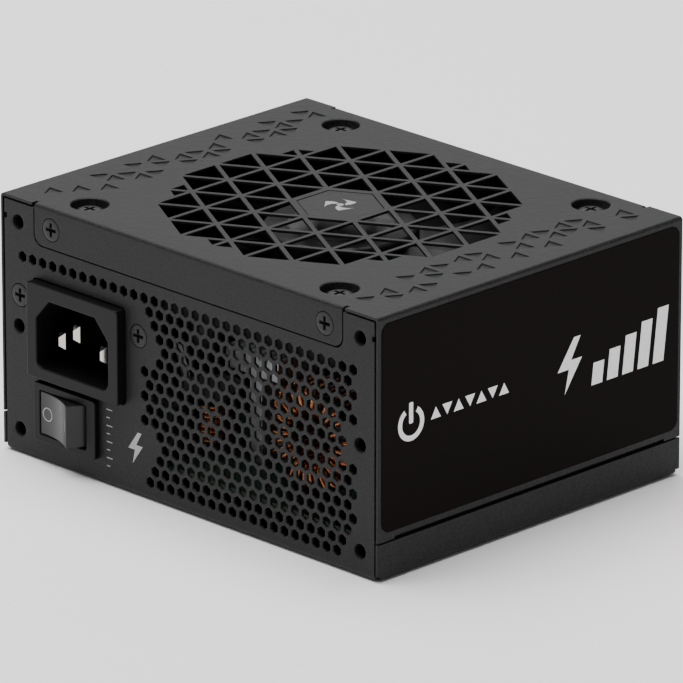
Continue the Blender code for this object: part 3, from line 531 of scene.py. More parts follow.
# Bare extruded aluminium: a bright grey metal whose shine is drawn out along the die lines.
extrusion = surface("bare_extruded_aluminium", "#B9BABC", 0.38, 1.0)
where = add(extrusion[1], "ShaderNodeTexCoord").outputs["Object"]
drawn = add(extrusion[1], "ShaderNodeMapping", {"Vector": where, "Scale": (3300.0, 60.0, 3300.0)})
lines = add(extrusion[1], "ShaderNodeTexNoise", {"Vector": drawn, "Scale": 1.0, "Detail": 2.0})
extrusion = patterned(extrusion, lines, relief=(0.00002, 0.5), shine=(0.28, 0.5))
tee_low, flute_floor, tee_top = 29.3, 33.4, 34.7
tee = [(0.4, part_foot), (4.4, part_foot), (4.4, tee_low), (9.9, tee_low), (9.9, tee_top)]
for flute in range(7):
    x = 8.9 - 2.4 * flute
    tee += [(x, tee_top), (x - 0.3, flute_floor), (x - 1.0, flute_floor), (x - 1.3, tee_top)]
tee += [(-7.6, tee_top), (-7.6, tee_low), (0.4, tee_low)]
mains_sink = Skin()
mains_sink.prism(facing, tee, -30, 6)
fit(closed_piece("tee_heatsink", mains_sink, [extrusion], 0.12), "aluminium", "case", "heatsink_primary")
plate_back, plate_front, fin_end = 21, 18.5, 14.5
fins = [(6, plate_back), (6, plate_front)]
for fin in range(6):
    x = 9 + 7 * fin
    fins += [(x, plate_front), (x + 0.15, fin_end), (x + 1.35, fin_end), (x + 1.5, plate_front)]
fins += [(52, plate_front), (52, plate_back)]
output_sink = Skin()
output_sink.prism(upright, fins, part_foot, 33)
fit(closed_piece("finned_heatsink", output_sink, [extrusion], 0.12), "aluminium", "case",
    "heatsink_secondary")

# WOUND PARTS. The filter toroid, the drum choke and the transformer: dull dark ferrite, wound with enamelled
# copper wire whose clear varnish gives a sharp shine. The toroid's turns lie side by side at its hole.

# Enamelled copper: warm metal under a clear varnish with a sharp shine, darker in patches of about 1.4 mm.
enamel = grained(
    "enamelled_copper_wire", "#C2703A", 0.26, 700.0, 2.0, metallic=1.0, Coat_Weight=0.6, Coat_Roughness=0.12,
    shades=((0.3, "#A85A2A"), (0.7, "#D0834A")))
# Sintered ferrite: a dull, almost black grey with a speckle and a fine roughness of 0.3 mm.
ferrite = grained(
    "sintered_ferrite", "#232326", 0.55, 3000.0, 3.0, relief=(0.00003, 0.6),
    shades=((0.3, "#1B1B1E"), (0.7, "#2E2E32")))
refinish(ferrite, "toroid_core", "choke_core", "transformer_core", "fan_magnet")


def around(tree, count, radius, part, lean=0.0):
    """Copies of a part spaced evenly around a ring, each turned to its place."""
    spots = add(tree, "GeometryNodeMeshCircle", {"Vertices": count, "Radius": radius})
    share = add(tree, "ShaderNodeMath", {
        0: add(tree, "GeometryNodeInputIndex"), 1: math.tau}, operation="MULTIPLY")
    spin = add(tree, "ShaderNodeMath", {0: share, 1: count}, operation="DIVIDE")
    turn = add(tree, "ShaderNodeCombineXYZ", {"X": lean, "Z": spin})
    return add(tree, "GeometryNodeInstanceOnPoints", {"Points": spots, "Instance": part, "Rotation": turn})


def round_wire(tree, path, radius):
    """A round wire drawn along a path."""
    section = add(tree, "GeometryNodeCurvePrimitiveCircle", {"Resolution": 8, "Radius": radius})
    return add(tree, "GeometryNodeCurveToMesh", {"Curve": path, "Profile Curve": section, "Fill Caps": True})


winding_tree, given = new_tree(
    "toroid_turns", Turns="Int", Wire_radius="Float", Middle="Float", Lean="Float", Material="Material")
loop = add(winding_tree, "GeometryNodeMeshToCurve", {"Mesh": given["Geometry"]})
loops = around(winding_tree, given["Turns"], given["Middle"], loop, given["Lean"])
strands = add(winding_tree, "GeometryNodeRealizeInstances", {"Geometry": loops})
end_tree(winding_tree, round_wire(winding_tree, strands, given["Wire radius"]), given["Material"])


def from_mesh(mesh, place):
    """A skin from a grown mesh, each body kept whole, with every point put in its place."""
    skin = Skin()
    skin.bm.from_mesh(mesh)
    for vertex in skin.bm.verts:
        vertex.co = place(*vertex.co)
    return skin


one_turn = outline_mesh("one_turn", [rounded(-3.2, 3.2, -4.7, 4.7, 1.6, 4)], facing)
turns = grown("toroid_turns", one_turn, winding_tree, {
    "Turns": 31, "Wire radius": 0.6, "Middle": 9.8, "Lean": 0.07, "Material": enamel})
toroid = from_mesh(turns, lambda x, y, z: (28 + x, -33.9 - z, 22.6 + y))
fit(closed_piece("toroid_turns", toroid, [enamel], crease=60), "copper", "case", "toroid_winding")

drum_tree, given = new_tree(
    "drum_turns", Turns="Float", Radius="Float", Height="Float", Wire_radius="Float", Material="Material")
helix = add(drum_tree, "GeometryNodeCurveSpiral", {
    "Resolution": 28, "Rotations": given["Turns"], "Start Radius": given["Radius"],
    "End Radius": given["Radius"], "Height": given["Height"]})
end_tree(drum_tree, round_wire(drum_tree, helix, given["Wire radius"]), given["Material"])
turns = grown("drum_turns", bpy.data.meshes.new("drum_seed"), drum_tree, {
    "Turns": 8.0, "Radius": 6.05, "Height": 9.6, "Wire radius": 0.62, "Material": enamel})
drum = from_mesh(turns, lambda x, y, z: (x - 14, y - 28, z + 10.4))
fit(closed_piece("drum_choke_turns", drum, [enamel], crease=60), "copper", "case", "choke_winding")

# Polyester tape: a clear amber shine over darker and lighter bands 5 mm apart, where its turns overlap.
tape = surface("amber_polyester_tape", "#8A5A1E", 0.3, Coat_Weight=0.4, Coat_Roughness=0.15)
layers = add(tape[1], "ShaderNodeTexWave", {
    "Vector": add(tape[1], "ShaderNodeTexCoord").outputs["Object"], "Scale": 60.0, "Distortion": 0.6},
    bands_direction="Z").outputs["Fac"]
tape = patterned(tape, layers, relief=(0.00008, 0.5), shades=((0.0, "#6E4614"), (1.0, "#9A6826")))
coil = Skin()
coil_outline, coil_opening = rounded(22.3, 39.7, -12.5, 12.5, 3.0), rounded(26.7, 35.3, -8.3, 8.3, 0.4, 2)
coil.prism(upright, coil_outline, 13.8, 30.2, [coil_opening])
fit(closed_piece("taped_transformer_coil", coil, [tape], 0.3), "copper", "case", "transformer_winding")

# CAPACITORS. Aluminium cans in a shrink sleeve of black PVC with a grey polarity stripe. The sleeve rolls over
# the rim and leaves the bare top, which is scored with a cross so that it can burst safely.

# Shrunk PVC sleeve: glossy black, drawn tight over unevenness about 4 mm long.
sleeve = grained("black_shrink_sleeve", "#141418", 0.3, 260.0, 2.0, relief=(0.00005, 0.5),
                 Coat_Weight=0.3, Coat_Roughness=0.2)
# Printed polarity stripe: pale grey ink with a thin dark dash every 8 mm.
stripe = surface("grey_polarity_stripe", "#8C8F96", 0.35)
dashes = add(stripe[1], "ShaderNodeTexWave", {
    "Vector": add(stripe[1], "ShaderNodeTexCoord").outputs["Object"], "Scale": 38.0},
    bands_direction="Z").outputs["Fac"]
stripe = patterned(stripe, dashes, shades=((0.06, "#1C1C20"), (0.1, "#8C8F96")))
# Drawn aluminium can: bright and plain, with press marks of about 0.7 mm.
can = grained("bare_can_aluminium", "#C4C5C8", 0.32, 1500.0, 2.0, metallic=1.0, relief=(0.00002, 0.4))


def cross_outline(arm, reach):
    """A cross with four equal arms, counter-clockwise."""
    points = []
    for quarter in range(4):
        c, s = round(math.cos(math.pi / 2 * quarter)), round(math.sin(math.pi / 2 * quarter))
        points += [(c * x - s * y, s * x + c * y) for x, y in ((arm, reach), (-arm, reach), (-arm, arm))]
    return points


def can_skin(radius, low, top, count):
    """A can on the origin: its sleeve, its stripe and its scored top."""
    skin = Skin()
    lid = radius * 0.88
    sleeve_profile = [(0, low), (radius - 0.5, low), (radius, low + 0.5), (radius, low + 2.0)]
    sleeve_profile += [(radius - 0.35, low + 2.5), (radius, low + 3.0), (radius, top - 0.7)]
    sleeve_profile += [(radius - 0.2, top - 0.2), (radius - 0.6, top), (lid, top - 0.05), (lid, top - 0.35)]
    skin.rings(upright, (0, 0), sleeve_profile, count)
    skin.bm.faces.ensure_lookup_table()
    for face in skin.bm.faces:
        middle = face.calc_center_median()
        if abs(math.atan2(middle.y, -middle.x)) < 0.3:
            face.material_index = 1
    skin.slot = 2
    cross, lid_height, score_height = cross_outline(0.35, lid * 0.75), top - 0.35, top - 0.6
    skin.flat(upright, [circle(0, 0, lid, count), cross], lid_height)
    skin.walls(upright, cross, ((1, lid_height), (1, score_height)))
    skin.flat(upright, [cross], score_height)
    return skin


bulk = can_skin(15.0, part_foot, 42.0, 48)
bmesh.ops.translate(bulk.bm, vec=(-40, -6, 0), verts=bulk.bm.verts)
fit(closed_piece("bulk_capacitor_can", bulk, [sleeve, stripe, can]), "capacitor_sleeve", "case",
    "bulk_capacitor")

repeat_tree, given = new_tree("repeated_part", Part="Object", Turn="Vector", Material="Material")
part = add(repeat_tree, "GeometryNodeObjectInfo", {"Object": given["Part"]}).outputs["Geometry"]
copies = add(repeat_tree, "GeometryNodeInstanceOnPoints", {
    "Points": given["Geometry"], "Instance": part, "Rotation": given["Turn"]})
slot_number = add(repeat_tree, "GeometryNodeInputMaterialIndex")
in_first_slot = add(repeat_tree, "ShaderNodeMath", {0: slot_number, 1: 0.5}, operation="LESS_THAN")
end_tree(repeat_tree, copies, given["Material"], in_first_slot.outputs[0])


def repeated(name, skin, materials, spots, turn=(0, 0, 0)):
    """One part grown at each of the spots and turned, all in one skin."""
    bmesh.ops.recalc_face_normals(skin.bm, faces=skin.bm.faces)
    mesh = bpy.data.meshes.new(name)
    skin.bm.to_mesh(mesh)
    skin.bm.free()
    for material in materials:
        mesh.materials.append(material)
    one = bpy.data.objects.new(name, mesh)
    bpy.context.scene.collection.objects.link(one)
    points = bpy.data.meshes.new(name)
    points.from_pydata(spots, [], [])
    made = grown(name, points, repeat_tree, {"Part": one, "Turn": turn, "Material": materials[0]})
    bpy.data.objects.remove(one)
    whole = Skin()
    whole.bm.from_mesh(made)
    return piece(name, whole, materials)


output_cans = repeated(
    "output_capacitor_cans", can_skin(4.9, part_foot, 28.0, 28), [sleeve, stripe, can],
    [(12 + 12 * n, 28.5, 0) for n in range(4)])
fit(output_cans, "capacitor_sleeve", "case", *[f"output_capacitor_{n}" for n in range(1, 5)])

# FILTER CAPACITOR AND RECTIFIER. Two moulded blocks: a film capacitor in a grey-black box with eased edges,
# and the bridge rectifier in matt black epoxy, which stands upright by the heatsink.

# Moulded epoxy: matt black with an even, dry-looking grain of about 0.6 mm.
moulding = grained("matt_epoxy_moulding", "#1B1B1D", 0.5, 1800.0, 3.0, relief=(0.00004, 0.5))
for name, corners, slot in (
    ("x_capacitor", (-25.5, -12.0, -43.5, -37.0, part_foot, 21.0), "capacitor_sleeve"),
    ("bridge_rectifier", (-17.5, -13.5, -12.0, 10.0, 11.0, 29.0), "black_plastic"),
):
    left, right, near, far, base, top = corners
    block = Skin()
    block.prism(upright, rounded(left, right, near, far, 0.5, 3), base, top)
    fit(closed_piece(f"moulded_{name}", block, [moulding], 0.35, 3), slot, "case", name)

# MODULAR SOCKETS. Black nylon blocks with two rows of square wells, one corner of every other well cut off
# so that a plug goes in only one way. A bright square pin stands in each well.

# Moulded nylon: deep black with a low, slightly uneven shine, from a spark-eroded texture of 0.45 mm.
nylon = grained(
    "black_moulded_nylon", "#0D0D0E", 0.45, 2200.0, 3.0, relief=(0.00004, 0.45), shine=(0.34, 0.5),
    Specular_IOR_Level=0.17)
# Bright nickel plating: a sharp mirror with faint handling marks about 1 mm across.
nickel = grained("bright_nickel_plated_brass", "#C9C6BE", 0.16, 900.0, 3.0, metallic=1.0, shine=(0.1, 0.2))
socket_face, socket_back, well_floor = 49.9, 40.3, 42.0
contact_pitch, half_well, keyed_cut, plain_cut = 4.2, 1.7, 1.1, 0.15
pin_spots = []
for name, contacts, x, z in sockets:
    half, tall = half_contact * contacts + 0.6, 4.8
    wells = []
    for column in range(contacts):
        for row in (-0.5, 0.5):
            u, v = x + contact_pitch * (column - (contacts - 1) / 2), z + contact_pitch * row
            cut = keyed_cut if (column + (row > 0)) % 2 else plain_cut
            left, right, low, high = u - half_well, u + half_well, v - half_well, v + half_well
            wells.append([(right, high - cut), (right - cut, high), (left + cut, high), (left, high - cut),
                          (left, low), (right, low)])
            pin_spots.append((u, well_floor, v))
    outline = rounded(x - half, x + half, z - tall, z + tall, 0.5, 3)
    block = Skin()
    block.flat(facing, [outline, *wells], socket_face)
    block.walls(facing, outline, ((1, socket_face), (1, socket_back)))
    block.flat(facing, [outline], socket_back)
    for well in wells:
        block.walls(facing, well, ((1, socket_face), (1, well_floor)))
        block.flat(facing, [well], well_floor)
    fit(closed_piece(f"{name}_block", block, [nylon], 0.12), "black_plastic", "case", name)
pin = Skin()
half_pin, pin_foot, pin_shoulder, pin_end, pin_taper = 0.55, -0.2, 5.0, 5.8, 0.4
foot = [(half_pin, half_pin), (-half_pin, half_pin), (-half_pin, -half_pin), (half_pin, -half_pin)]
tip = pin.walls(facing, foot, ((1, pin_foot), (1, pin_shoulder), (pin_taper, pin_end)))
pin.flat(facing, [foot], pin_foot)
pin.flat(facing, [[(x, z) for x, _, z in tip]], pin_end)
fit(repeated("socket_pins", pin, [nickel], pin_spots), "plated_brass", "case")

# MAINS INLET. A black nylon shroud that stands through the inlet face, with two ears behind it for its
# screws. Its deep socket has two corners cut off, and its three blades taper at the tip on all four sides.
shroud_front, shroud_back, socket_floor = -52.4, -34.0, -36.4
shroud = rounded(-51.4, -20.6, 21.4, 44.9, 0.9)
well = [(-23.9, 26.3), (-23.9, 36.5), (-28.3, 41.4), (-43.7, 41.4), (-48.1, 36.5), (-48.1, 26.3)]
well += [(-46.2 - 1.9 * math.cos(t), 26.3 - 1.9 * math.sin(t)) for t in np.linspace(0.3, 1.57, 5)]
well += [(-25.8 + 1.9 * math.sin(t), 26.3 - 1.9 * math.cos(t)) for t in np.linspace(0, 1.27, 5)]
blades = {"live_blade": (-43.0, 31.2, -49.9), "neutral_blade": (-29.0, 31.2, -49.9),
          "earth_blade": (-36.0, 35.1, -51.8)}
slots = [[(x + u, z + v) for u, v in ((1.2, 2.25), (-1.2, 2.25), (-1.2, -2.25), (1.2, -2.25))]
         for x, z, _ in blades.values()]
inlet = Skin()
inlet.flat(facing, [shroud, well], shroud_front)
inlet.walls(facing, shroud, ((1, shroud_front), (1, shroud_back)))
inlet.flat(facing, [shroud, *slots], shroud_back)
inlet.walls(facing, well, ((1, shroud_front), (1, socket_floor)))
inlet.flat(facing, [well, *slots], socket_floor)
for slot in slots:
    inlet.walls(facing, slot, ((1, socket_floor), (1, shroud_back)))
ear_front, ear_back, ear_hole = -48.9, -46.5, 1.8
for (left, right), spot in zip(((-59.8, -51.3), (-20.7, -12.2)), inlet_ears):
    ear, hole = rounded(left, right, 36.0, 43.0, 2.5), circle(*spot, ear_hole, 20)
    inlet.prism(facing, ear, ear_front, ear_back, [hole])
fit(closed_piece("nylon_mains_inlet", inlet, [nylon], 0.3, 3), "black_plastic", "case", "inlet_body")
blade_root, taper, full_size, tip_size = -30.5, 1.2, (1.0, 2.05), (0.06, 1.1)
for name, (x, z, tip) in blades.items():
    blade = Skin()
    rows = []
    for y, (half, tall) in ((blade_root, full_size), (tip + taper, full_size), (tip, tip_size)):
        left, right, low, high = x - half, x + half, z - tall, z + tall
        rows.append([(right, y, high), (left, y, high), (left, y, low), (right, y, low)])
    blade.strip(rows, closed=True)
    blade.face(rows[0])
    blade.face(rows[-1])
    fit(closed_piece(f"tapered_{name}", blade, [nickel], 0.03), "plated_brass", "case", name)

# ROCKER SWITCH. A snap-in nylon housing whose bezel lies on the inlet face, and a glossier rocker on two
# trunnions, with a dished face, flared ends and eased edges. The ring and the bar are pad-printed in grey.
bezel_front, bezel_back, housing_back, housing_floor = -51.5, -50.05, -38.0, -39.2
bezel = rounded(-50.2, -29.4, 5.5, 20.1, 0.8)
body = rounded(-48.95, -30.6, 6.3, 19.3, 0.3, 2)
mouth = rounded(-48.15, -32.4, 7.3, 18.35, 0.4, 3)
housing = Skin()
housing.flat(facing, [bezel, mouth], bezel_front)
housing.walls(facing, bezel, ((1, bezel_front), (1, bezel_back)))
housing.flat(facing, [bezel, body], bezel_back)
housing.walls(facing, body, ((1, bezel_back), (1, housing_back)))
housing.flat(facing, [body], housing_back)
housing.walls(facing, mouth, ((1, bezel_front), (1, housing_floor)))
housing.flat(facing, [mouth], housing_floor)
fit(closed_piece("switch_bezel", housing, [nylon], 0.25, 3), "black_plastic", "case", "switch_housing")
refinish(nickel, "switch_terminal_line", "switch_terminal_load")

# Polished nylon: the same black with a wet-looking shine, dulled by handling in patches of about 0.7 mm.
glossy = grained(
    "polished_black_nylon", "#1A1A1C", 0.3, 1400.0, 3.0, relief=(0.00002, 0.35), shine=(0.24, 0.38),
    Specular_IOR_Level=0.4)
pivot_x, pivot_y, tilt = -40.275, -46.85, math.radians(15)
ridge_x, ridge_y, dish = 6.16, -6.37, 1.0


def on_rocker(u, v, z):
    """A point of the rocker's own drawing, put on its pivot with the ring's end pressed in."""
    c, s = math.cos(-tilt), math.sin(-tilt)
    return (pivot_x + c * u - s * v, pivot_y + s * u + c * v, z)


def dished(u):
    return ridge_y + dish * (1 - (u / ridge_x) ** 2)


foot_u, foot_v = ridge_x + 6.0 * math.sin(tilt), ridge_y + 6.0 * math.cos(tilt)
section = [(u, dished(u)) for u in np.linspace(ridge_x, -ridge_x, 17)]
section += [(-foot_u, foot_v), (-2.6, 0.6), (-1.2, 3.2), (1.2, 3.2), (2.6, 0.6), (foot_u, foot_v)]
rocker = Skin()
rocker.prism(on_rocker, section, 7.55, 18.1)
trunnion, trunnion_low, trunnion_high = 1.2, 6.85, 18.8
rocker.turned(upright, (pivot_x, pivot_y), [
    (0, trunnion_low), (trunnion, trunnion_low), (trunnion, trunnion_high), (0, trunnion_high)], 24)
fit(closed_piece("dished_rocker", rocker, [glossy], 0.22, 3), "black_plastic", "rocker", "switch_rocker")

# Pad-printed ink: a thin, matt grey with a speckle of about 0.25 mm where it missed.
grey_ink = grained("grey_pad_print", "#A2A2A0", 0.5, 4000.0, 2.0, shades=((0.3, "#989896"), (0.7, "#B0B0AE")))


def on_face(u, z, depth):
    return on_rocker(u, dished(u) - depth, z)


marks = Skin()
ring_spot, ink_low, ink_top = (-3.8, 12.8), -0.04, 0.025
marks.prism(on_face, circle(*ring_spot, 1.7, 40), ink_low, ink_top, [circle(*ring_spot, 1.46, 40)])
marks.prism(on_face, [(4.95, 11.4), (5.2, 11.4), (5.2, 14.2), (4.95, 14.2)], ink_low, ink_top)
fit(closed_piece("rocker_marks", marks, [grey_ink]), "black_plastic", "rocker")

# WIRES. The mains wires behind the inlet and the fan's lead: stranded copper in extruded PVC, soldered at the
# ends. The insulation has a soft satin skin, in the colour of its conductor.
for name, colour, nodes in (
    ("black_wire_insulation", "#1A1A1B", ("wire_live", "fan_lead")),
    ("white_wire_insulation", "#C9C8C2", ("wire_neutral",)),
    ("green_wire_insulation", "#2F7A3C", ("wire_earth",)),
):
    # Extruded PVC: plain colour with a satin skin, uneven at about 0.8 mm.
    refinish(grained(name, colour, 0.42, 1200.0, 2.0, relief=(0.00003, 0.5)), *nodes)

# FAN. A slim fan 92 mm square in glass-filled black nylon: a frame with a bell-mouthed bore and four struts,
# and a rotor of nine swept blades moulded in one piece with its hub, which has a dark foil disc on top.
frame_skin = Skin()
fan_low, fan_top = 45.0, 60.0
frame_outline = rounded(-46, 46, -46, 46, 4.0)
fan_screws = [(x, y) for x in (-41.25, 41.25) for y in (-41.25, 41.25)]
corner_holes = [circle(*spot, 2.1, 20) for spot in fan_screws]
bore = ((45.2, fan_top), (44.5, 59.6), (44.3, 59.0), (44.3, 46.0), (44.5, 45.4), (45.2, fan_low))
face_outlines = [frame_outline, circle(0, 0, bore[0][0], 96), *corner_holes]
frame_skin.flat(upright, face_outlines, fan_top)
frame_skin.rings(upright, (0, 0), bore, 96)
frame_skin.flat(upright, face_outlines, fan_low)
for loop in (frame_outline, *corner_holes):
    frame_skin.walls(upright, loop, ((1, fan_low), (1, fan_top)))
strut_low, strut_top = 45.02, 46.8
for quarter in range(4):
    turn = math.radians(20 + 90 * quarter)
    c, s = math.cos(turn), math.sin(turn)
    strut = [(12, -2), (45.0, -2), (45.0, 2), (12, 2)]
    frame_skin.prism(upright, [(c * x - s * y, s * x + c * y) for x, y in strut], strut_low, strut_top)
hub_base = [(0, 45.01), (16.6, 45.01), (17, 45.4), (17, 46.4), (4.6, 46.4), (4.6, 54.8), (3.4, 54.8)]
frame_skin.turned(upright, (0, 0), hub_base + [(3.4, 45.6), (0, 45.6)], 48)
fit(closed_piece("fan_frame_moulding", frame_skin, [nylon], 0.3), "black_plastic", "case", "fan_frame")
refinish(enamel, "fan_stator")
refinish(nickel, "fan_bearing")
# Ground steel: a clean, cool metal with a fine haze of 0.4 mm in its shine.
ground = grained("ground_shaft_steel", "#B4B4B6", 0.25, 2500.0, 2.0, metallic=1.0, relief=(0.00001, 0.3))
refinish(ground, "fan_shaft")

blade_tree, given = new_tree("swept_blades", Blades="Int", Material="Material")
end_tree(blade_tree, around(blade_tree, given["Blades"], 0.001, given["Geometry"]), given["Material"])

blade = Skin()
stations = []
hub_reach, blade_length, droop, camber = 17.6, 25.1, 0.62, 0.7
for share in np.linspace(0, 1, 14):
    radius = hub_reach + blade_length * share
    chord, pitch_angle = 13.0 + 5.0 * share, math.radians(50 - 20 * share)
    upper, lower = [], []
    for step in np.linspace(-1, 1, 13):
        across_chord, fullness = chord / 2 * step, 1 - step * step
        lift = across_chord * math.sin(pitch_angle) * droop + 53.4 - camber * fullness
        angle = 0.42 * share ** 1.6 + across_chord * math.cos(pitch_angle) / radius
        half = 0.22 + 0.48 * fullness
        upper.append((radius * math.cos(angle), radius * math.sin(angle), lift + half))
        lower.append((radius * math.cos(angle), radius * math.sin(angle), lift - half))
    stations.append(upper + lower[::-1])
blade.strip(stations, closed=True)
blade.face(stations[0])
blade.face(stations[-1])
bmesh.ops.recalc_face_normals(blade.bm, faces=blade.bm.faces)
one_blade = bpy.data.meshes.new("one_blade")
blade.bm.to_mesh(one_blade)
rotor = Skin()
rotor.bm.from_mesh(grown("swept_blades", one_blade, blade_tree, {"Blades": 9, "Material": nylon}))
hub = [(0, 58.8), (17.3, 58.8), (17.9, 58.65), (18.35, 58.2), (18.5, 57.6), (18.5, 47.7), (17.3, 47.7)]
hub += [(17.3, 57.4), (3.2, 57.4), (3.2, 55.6), (1.75, 55.6), (1.75, 57.6), (0, 57.6)]
rotor.turned(upright, (0, 0), hub, 72)
fit(closed_piece("fan_rotor_moulding", rotor, [nylon]), "black_plastic", "fan", "fan_rotor")

# Printed foil: dark, half metallic, with brushing about 1.2 mm long that streaks the shine.
foil = grained("dark_foil_disc", "#2A2A2D", 0.4, 800.0, 3.0, metallic=0.5, shine=(0.24, 0.42))
disc = Skin()
foil_low, foil_top, foil_radius = 58.79, 58.9, 12.5
disc.turned(upright, (0, 0), [
    (0, foil_low), (foil_radius, foil_low), (foil_radius, foil_top), (0, foil_top)], 64)
fit(closed_piece("hub_foil_disc", disc, [foil]), "black_plastic", "fan")

# TOP COVER. One sheet of thin steel under the same powder coat, punched with the triangle grille, embossed
# beside it and pressed into a cup at each fan screw. All four edges fold down, and its walls step inwards at
# the foot to slip behind the tray's lips.


def grille(tree, given):
    """Triangles of one way round within reach of the middle, then the same turned half a turn; and at each
    of the six points of the pattern two triangles of half the size."""
    def cell(scale):
        reach = add(tree, "ShaderNodeMath", {0: given["Side"], 1: scale / math.sqrt(3)}, operation="MULTIPLY")
        radius = add(tree, "ShaderNodeMath", {0: reach, 1: given["Rib"]}, operation="SUBTRACT")
        return add(tree, "GeometryNodeCurvePrimitiveCircle", {"Resolution": 3, "Radius": radius})

    count, along, beside, _ = staggered(tree, given, 10, 10)
    place = add(tree, "ShaderNodeCombineXYZ", {"X": beside, "Y": along})
    points = add(tree, "GeometryNodePoints", {"Count": count, "Position": place})
    where = add(tree, "GeometryNodeInputPosition")
    away = add(tree, "ShaderNodeVectorMath", {0: where}, operation="LENGTH").outputs["Value"]
    for side_of, limit in (("GREATER_THAN", given["Reach"]), ("LESS_THAN", given["Side"])):
        struck = add(tree, "ShaderNodeMath", {0: away, 1: limit}, operation=side_of)
        points = add(tree, "GeometryNodeDeleteGeometry", {"Geometry": points, "Selection": struck})
    whole = add(tree, "GeometryNodeInstanceOnPoints", {"Points": points, "Instance": cell(1.0)})
    parts = [whole, add(tree, "GeometryNodeTransform", {"Geometry": whole, "Rotation": (0, 0, math.pi)})]
    for sixth in range(6):
        for hand in (-1, 1):
            spot = add(tree, "ShaderNodeVectorMath", {
                0: (3.25, hand * 0.25 / math.sqrt(3), 0), "Scale": given["Side"]}, operation="SCALE")
            one = add(tree, "GeometryNodeTransform", {
                "Geometry": cell(0.5), "Translation": spot, "Rotation": (0, 0, hand * math.pi / 2)})
            parts.append(add(tree, "GeometryNodeTransform", {
                "Geometry": one, "Rotation": (0, 0, math.pi / 6 + math.pi / 3 * sixth)}))
    return add(tree, "GeometryNodeJoinGeometry", {0: parts})


wall_x, end_y, top = (value * 1000 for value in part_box("top_cover")[1])
cover_bend = 0.85
fold_x, fold_y = wall_x - cover_bend, end_y - cover_bend
cover_arc = [(cover_bend / bend * out, cover_bend / bend * down) for out, down in arc]
flange_x, flange_low, flange_round = 50.8, 53.6, 2.7
relief_width, relief_depth = 0.9, 1.7
raised_y, raised_edge, wall_edge = 44.6, 9.95, 9.3
quarter = [(fold_x, end_y), (flange_x + relief_width, end_y), (flange_x + relief_width, end_y - relief_depth)]
quarter += [(flange_x, end_y - relief_depth), (flange_x, fold_y)]
outline = [(fold_x, -raised_y), (fold_x, raised_y)] + quarter
outline += [(-x, y) for x, y in quarter[::-1]] + [(-fold_x, raised_y), (-fold_x, -raised_y)]
outline += [(-x, -y) for x, y in quarter] + [(x, -y) for x, y in quarter[::-1]]
recess_radius = 18.5 / math.sqrt(3)
badge_rim = circle(0, 0, recess_radius, 6, math.pi / 6)

# The small triangles beside the grille, row by row: the columns filled, counted towards +X.
bands = {-1: "01 1 012 12 12 0 12 12 12 01 02 12 01 2 1 0", 1: "12 - 012 01 01 02 01 2 01 02 02 01 02 2 12 1"}
band_middle, band_end, column_step, row_step = 50.7, 41.5, 3.7, 5.53
emboss_radius, emboss_slope, emboss_depth = 2.75, 0.22, 0.36
embossed = []
for side, rows in bands.items():
    for row, columns in enumerate(rows.split()):
        for column in (int(mark) for mark in columns if mark != "-"):
            x, y = side * band_middle + column_step * (column - 1), band_end - row_step * row
            up = 1 if (row + column) % 2 == 0 else -1
            embossed.append((x, y - up * 0.7, up * math.pi / 2))

# The cup's profile, from its rounded rim down to its floor: radius and depth.
cup = ((4.9, 0.0), (4.7, 0.06), (4.52, 0.25), (4.45, 0.6), (4.4, 1.8), (4.2, 2.2), (3.8, 2.4), (2.0, 2.4))
grille_tree = punched_tree("punched_cover", grille, "Side", "Rib", "Reach")
rims = [outline, badge_rim] + [circle(*spot, cup[0][0], 40) for spot in fan_screws]
rims += [circle(x, y, emboss_radius, 3, turn) for x, y, turn in embossed]
side = 12.0
line_step = side * math.sqrt(3) / 2
blank = grown("cover_blank", outline_mesh("cover_outlines", rims), grille_tree, {
    "Step": side, "First": -4 * side, "Line step": line_step, "First line": line_step * (1 / 3 - 5),
    "Side": side, "Rib": 1.15, "Reach": 40.0, "Material": coat})
cover = Skin()
cover.take(upright, blank, top)
for spot in fan_screws:
    cover.rings(upright, spot, [(radius, top - down) for radius, down in cup], 40)
for x, y, turn in embossed:
    slope = ((emboss_radius, top), (emboss_radius - emboss_slope, top - emboss_depth))
    cover.face(cover.rings(upright, (x, y), slope, 3, turn))
cover.face(cover.walls(upright, badge_rim, ((1, top), (0.985, top - 0.35))))
for side in (-1, 1):
    stops = (-end_y, -raised_y, raised_y, end_y)
    path = [(fold_x + out, top - cover_bend + down) for out, down in cover_arc] + [(wall_x, raised_edge)]
    cover.strip([[(side * x, y, z) for y in stops] for x, z in path])
    for ends in (stops[:2], stops[2:]):
        cover.strip([[(side * wall_x, y, z) for y in ends] for z in (raised_edge, wall_edge)])
    tongue_x, tongue_foot, tongue_end = wall_x - 1.2, 4.0, 44.0
    tongue = [(wall_x, raised_edge), (wall_x - 0.45, raised_edge - 0.15), (tongue_x, raised_edge - 0.9)]
    tongue += [(tongue_x, tongue_foot)]
    cover.strip([[(side * x, y, z) for y in (-tongue_end, tongue_end)] for x, z in tongue])
    path = [(fold_y + out, top - cover_bend + down) for out, down in cover_arc]
    cover.strip([[(x, side * y, z) for x in (-flange_x, flange_x)] for y, z in path])
    flange = [(flange_x, top - cover_bend), (-flange_x, top - cover_bend)]
    for x, start in ((-flange_x + flange_round, math.pi), (flange_x - flange_round, 1.5 * math.pi)):
        for turn in np.linspace(start, start + math.pi / 2, 6):
            z = flange_low + flange_round * (1 + math.sin(turn))
            flange.append((x + flange_round * math.cos(turn), z))
    cover.flat(facing, [flange] + [circle(*spot, 2.9, 28) for spot in flange_screws], side * end_y)
fit(folded_piece("folded_top_cover", cover, (0, 0, 1), [coat], 0.65), "powder_coat", "case", "top_cover")

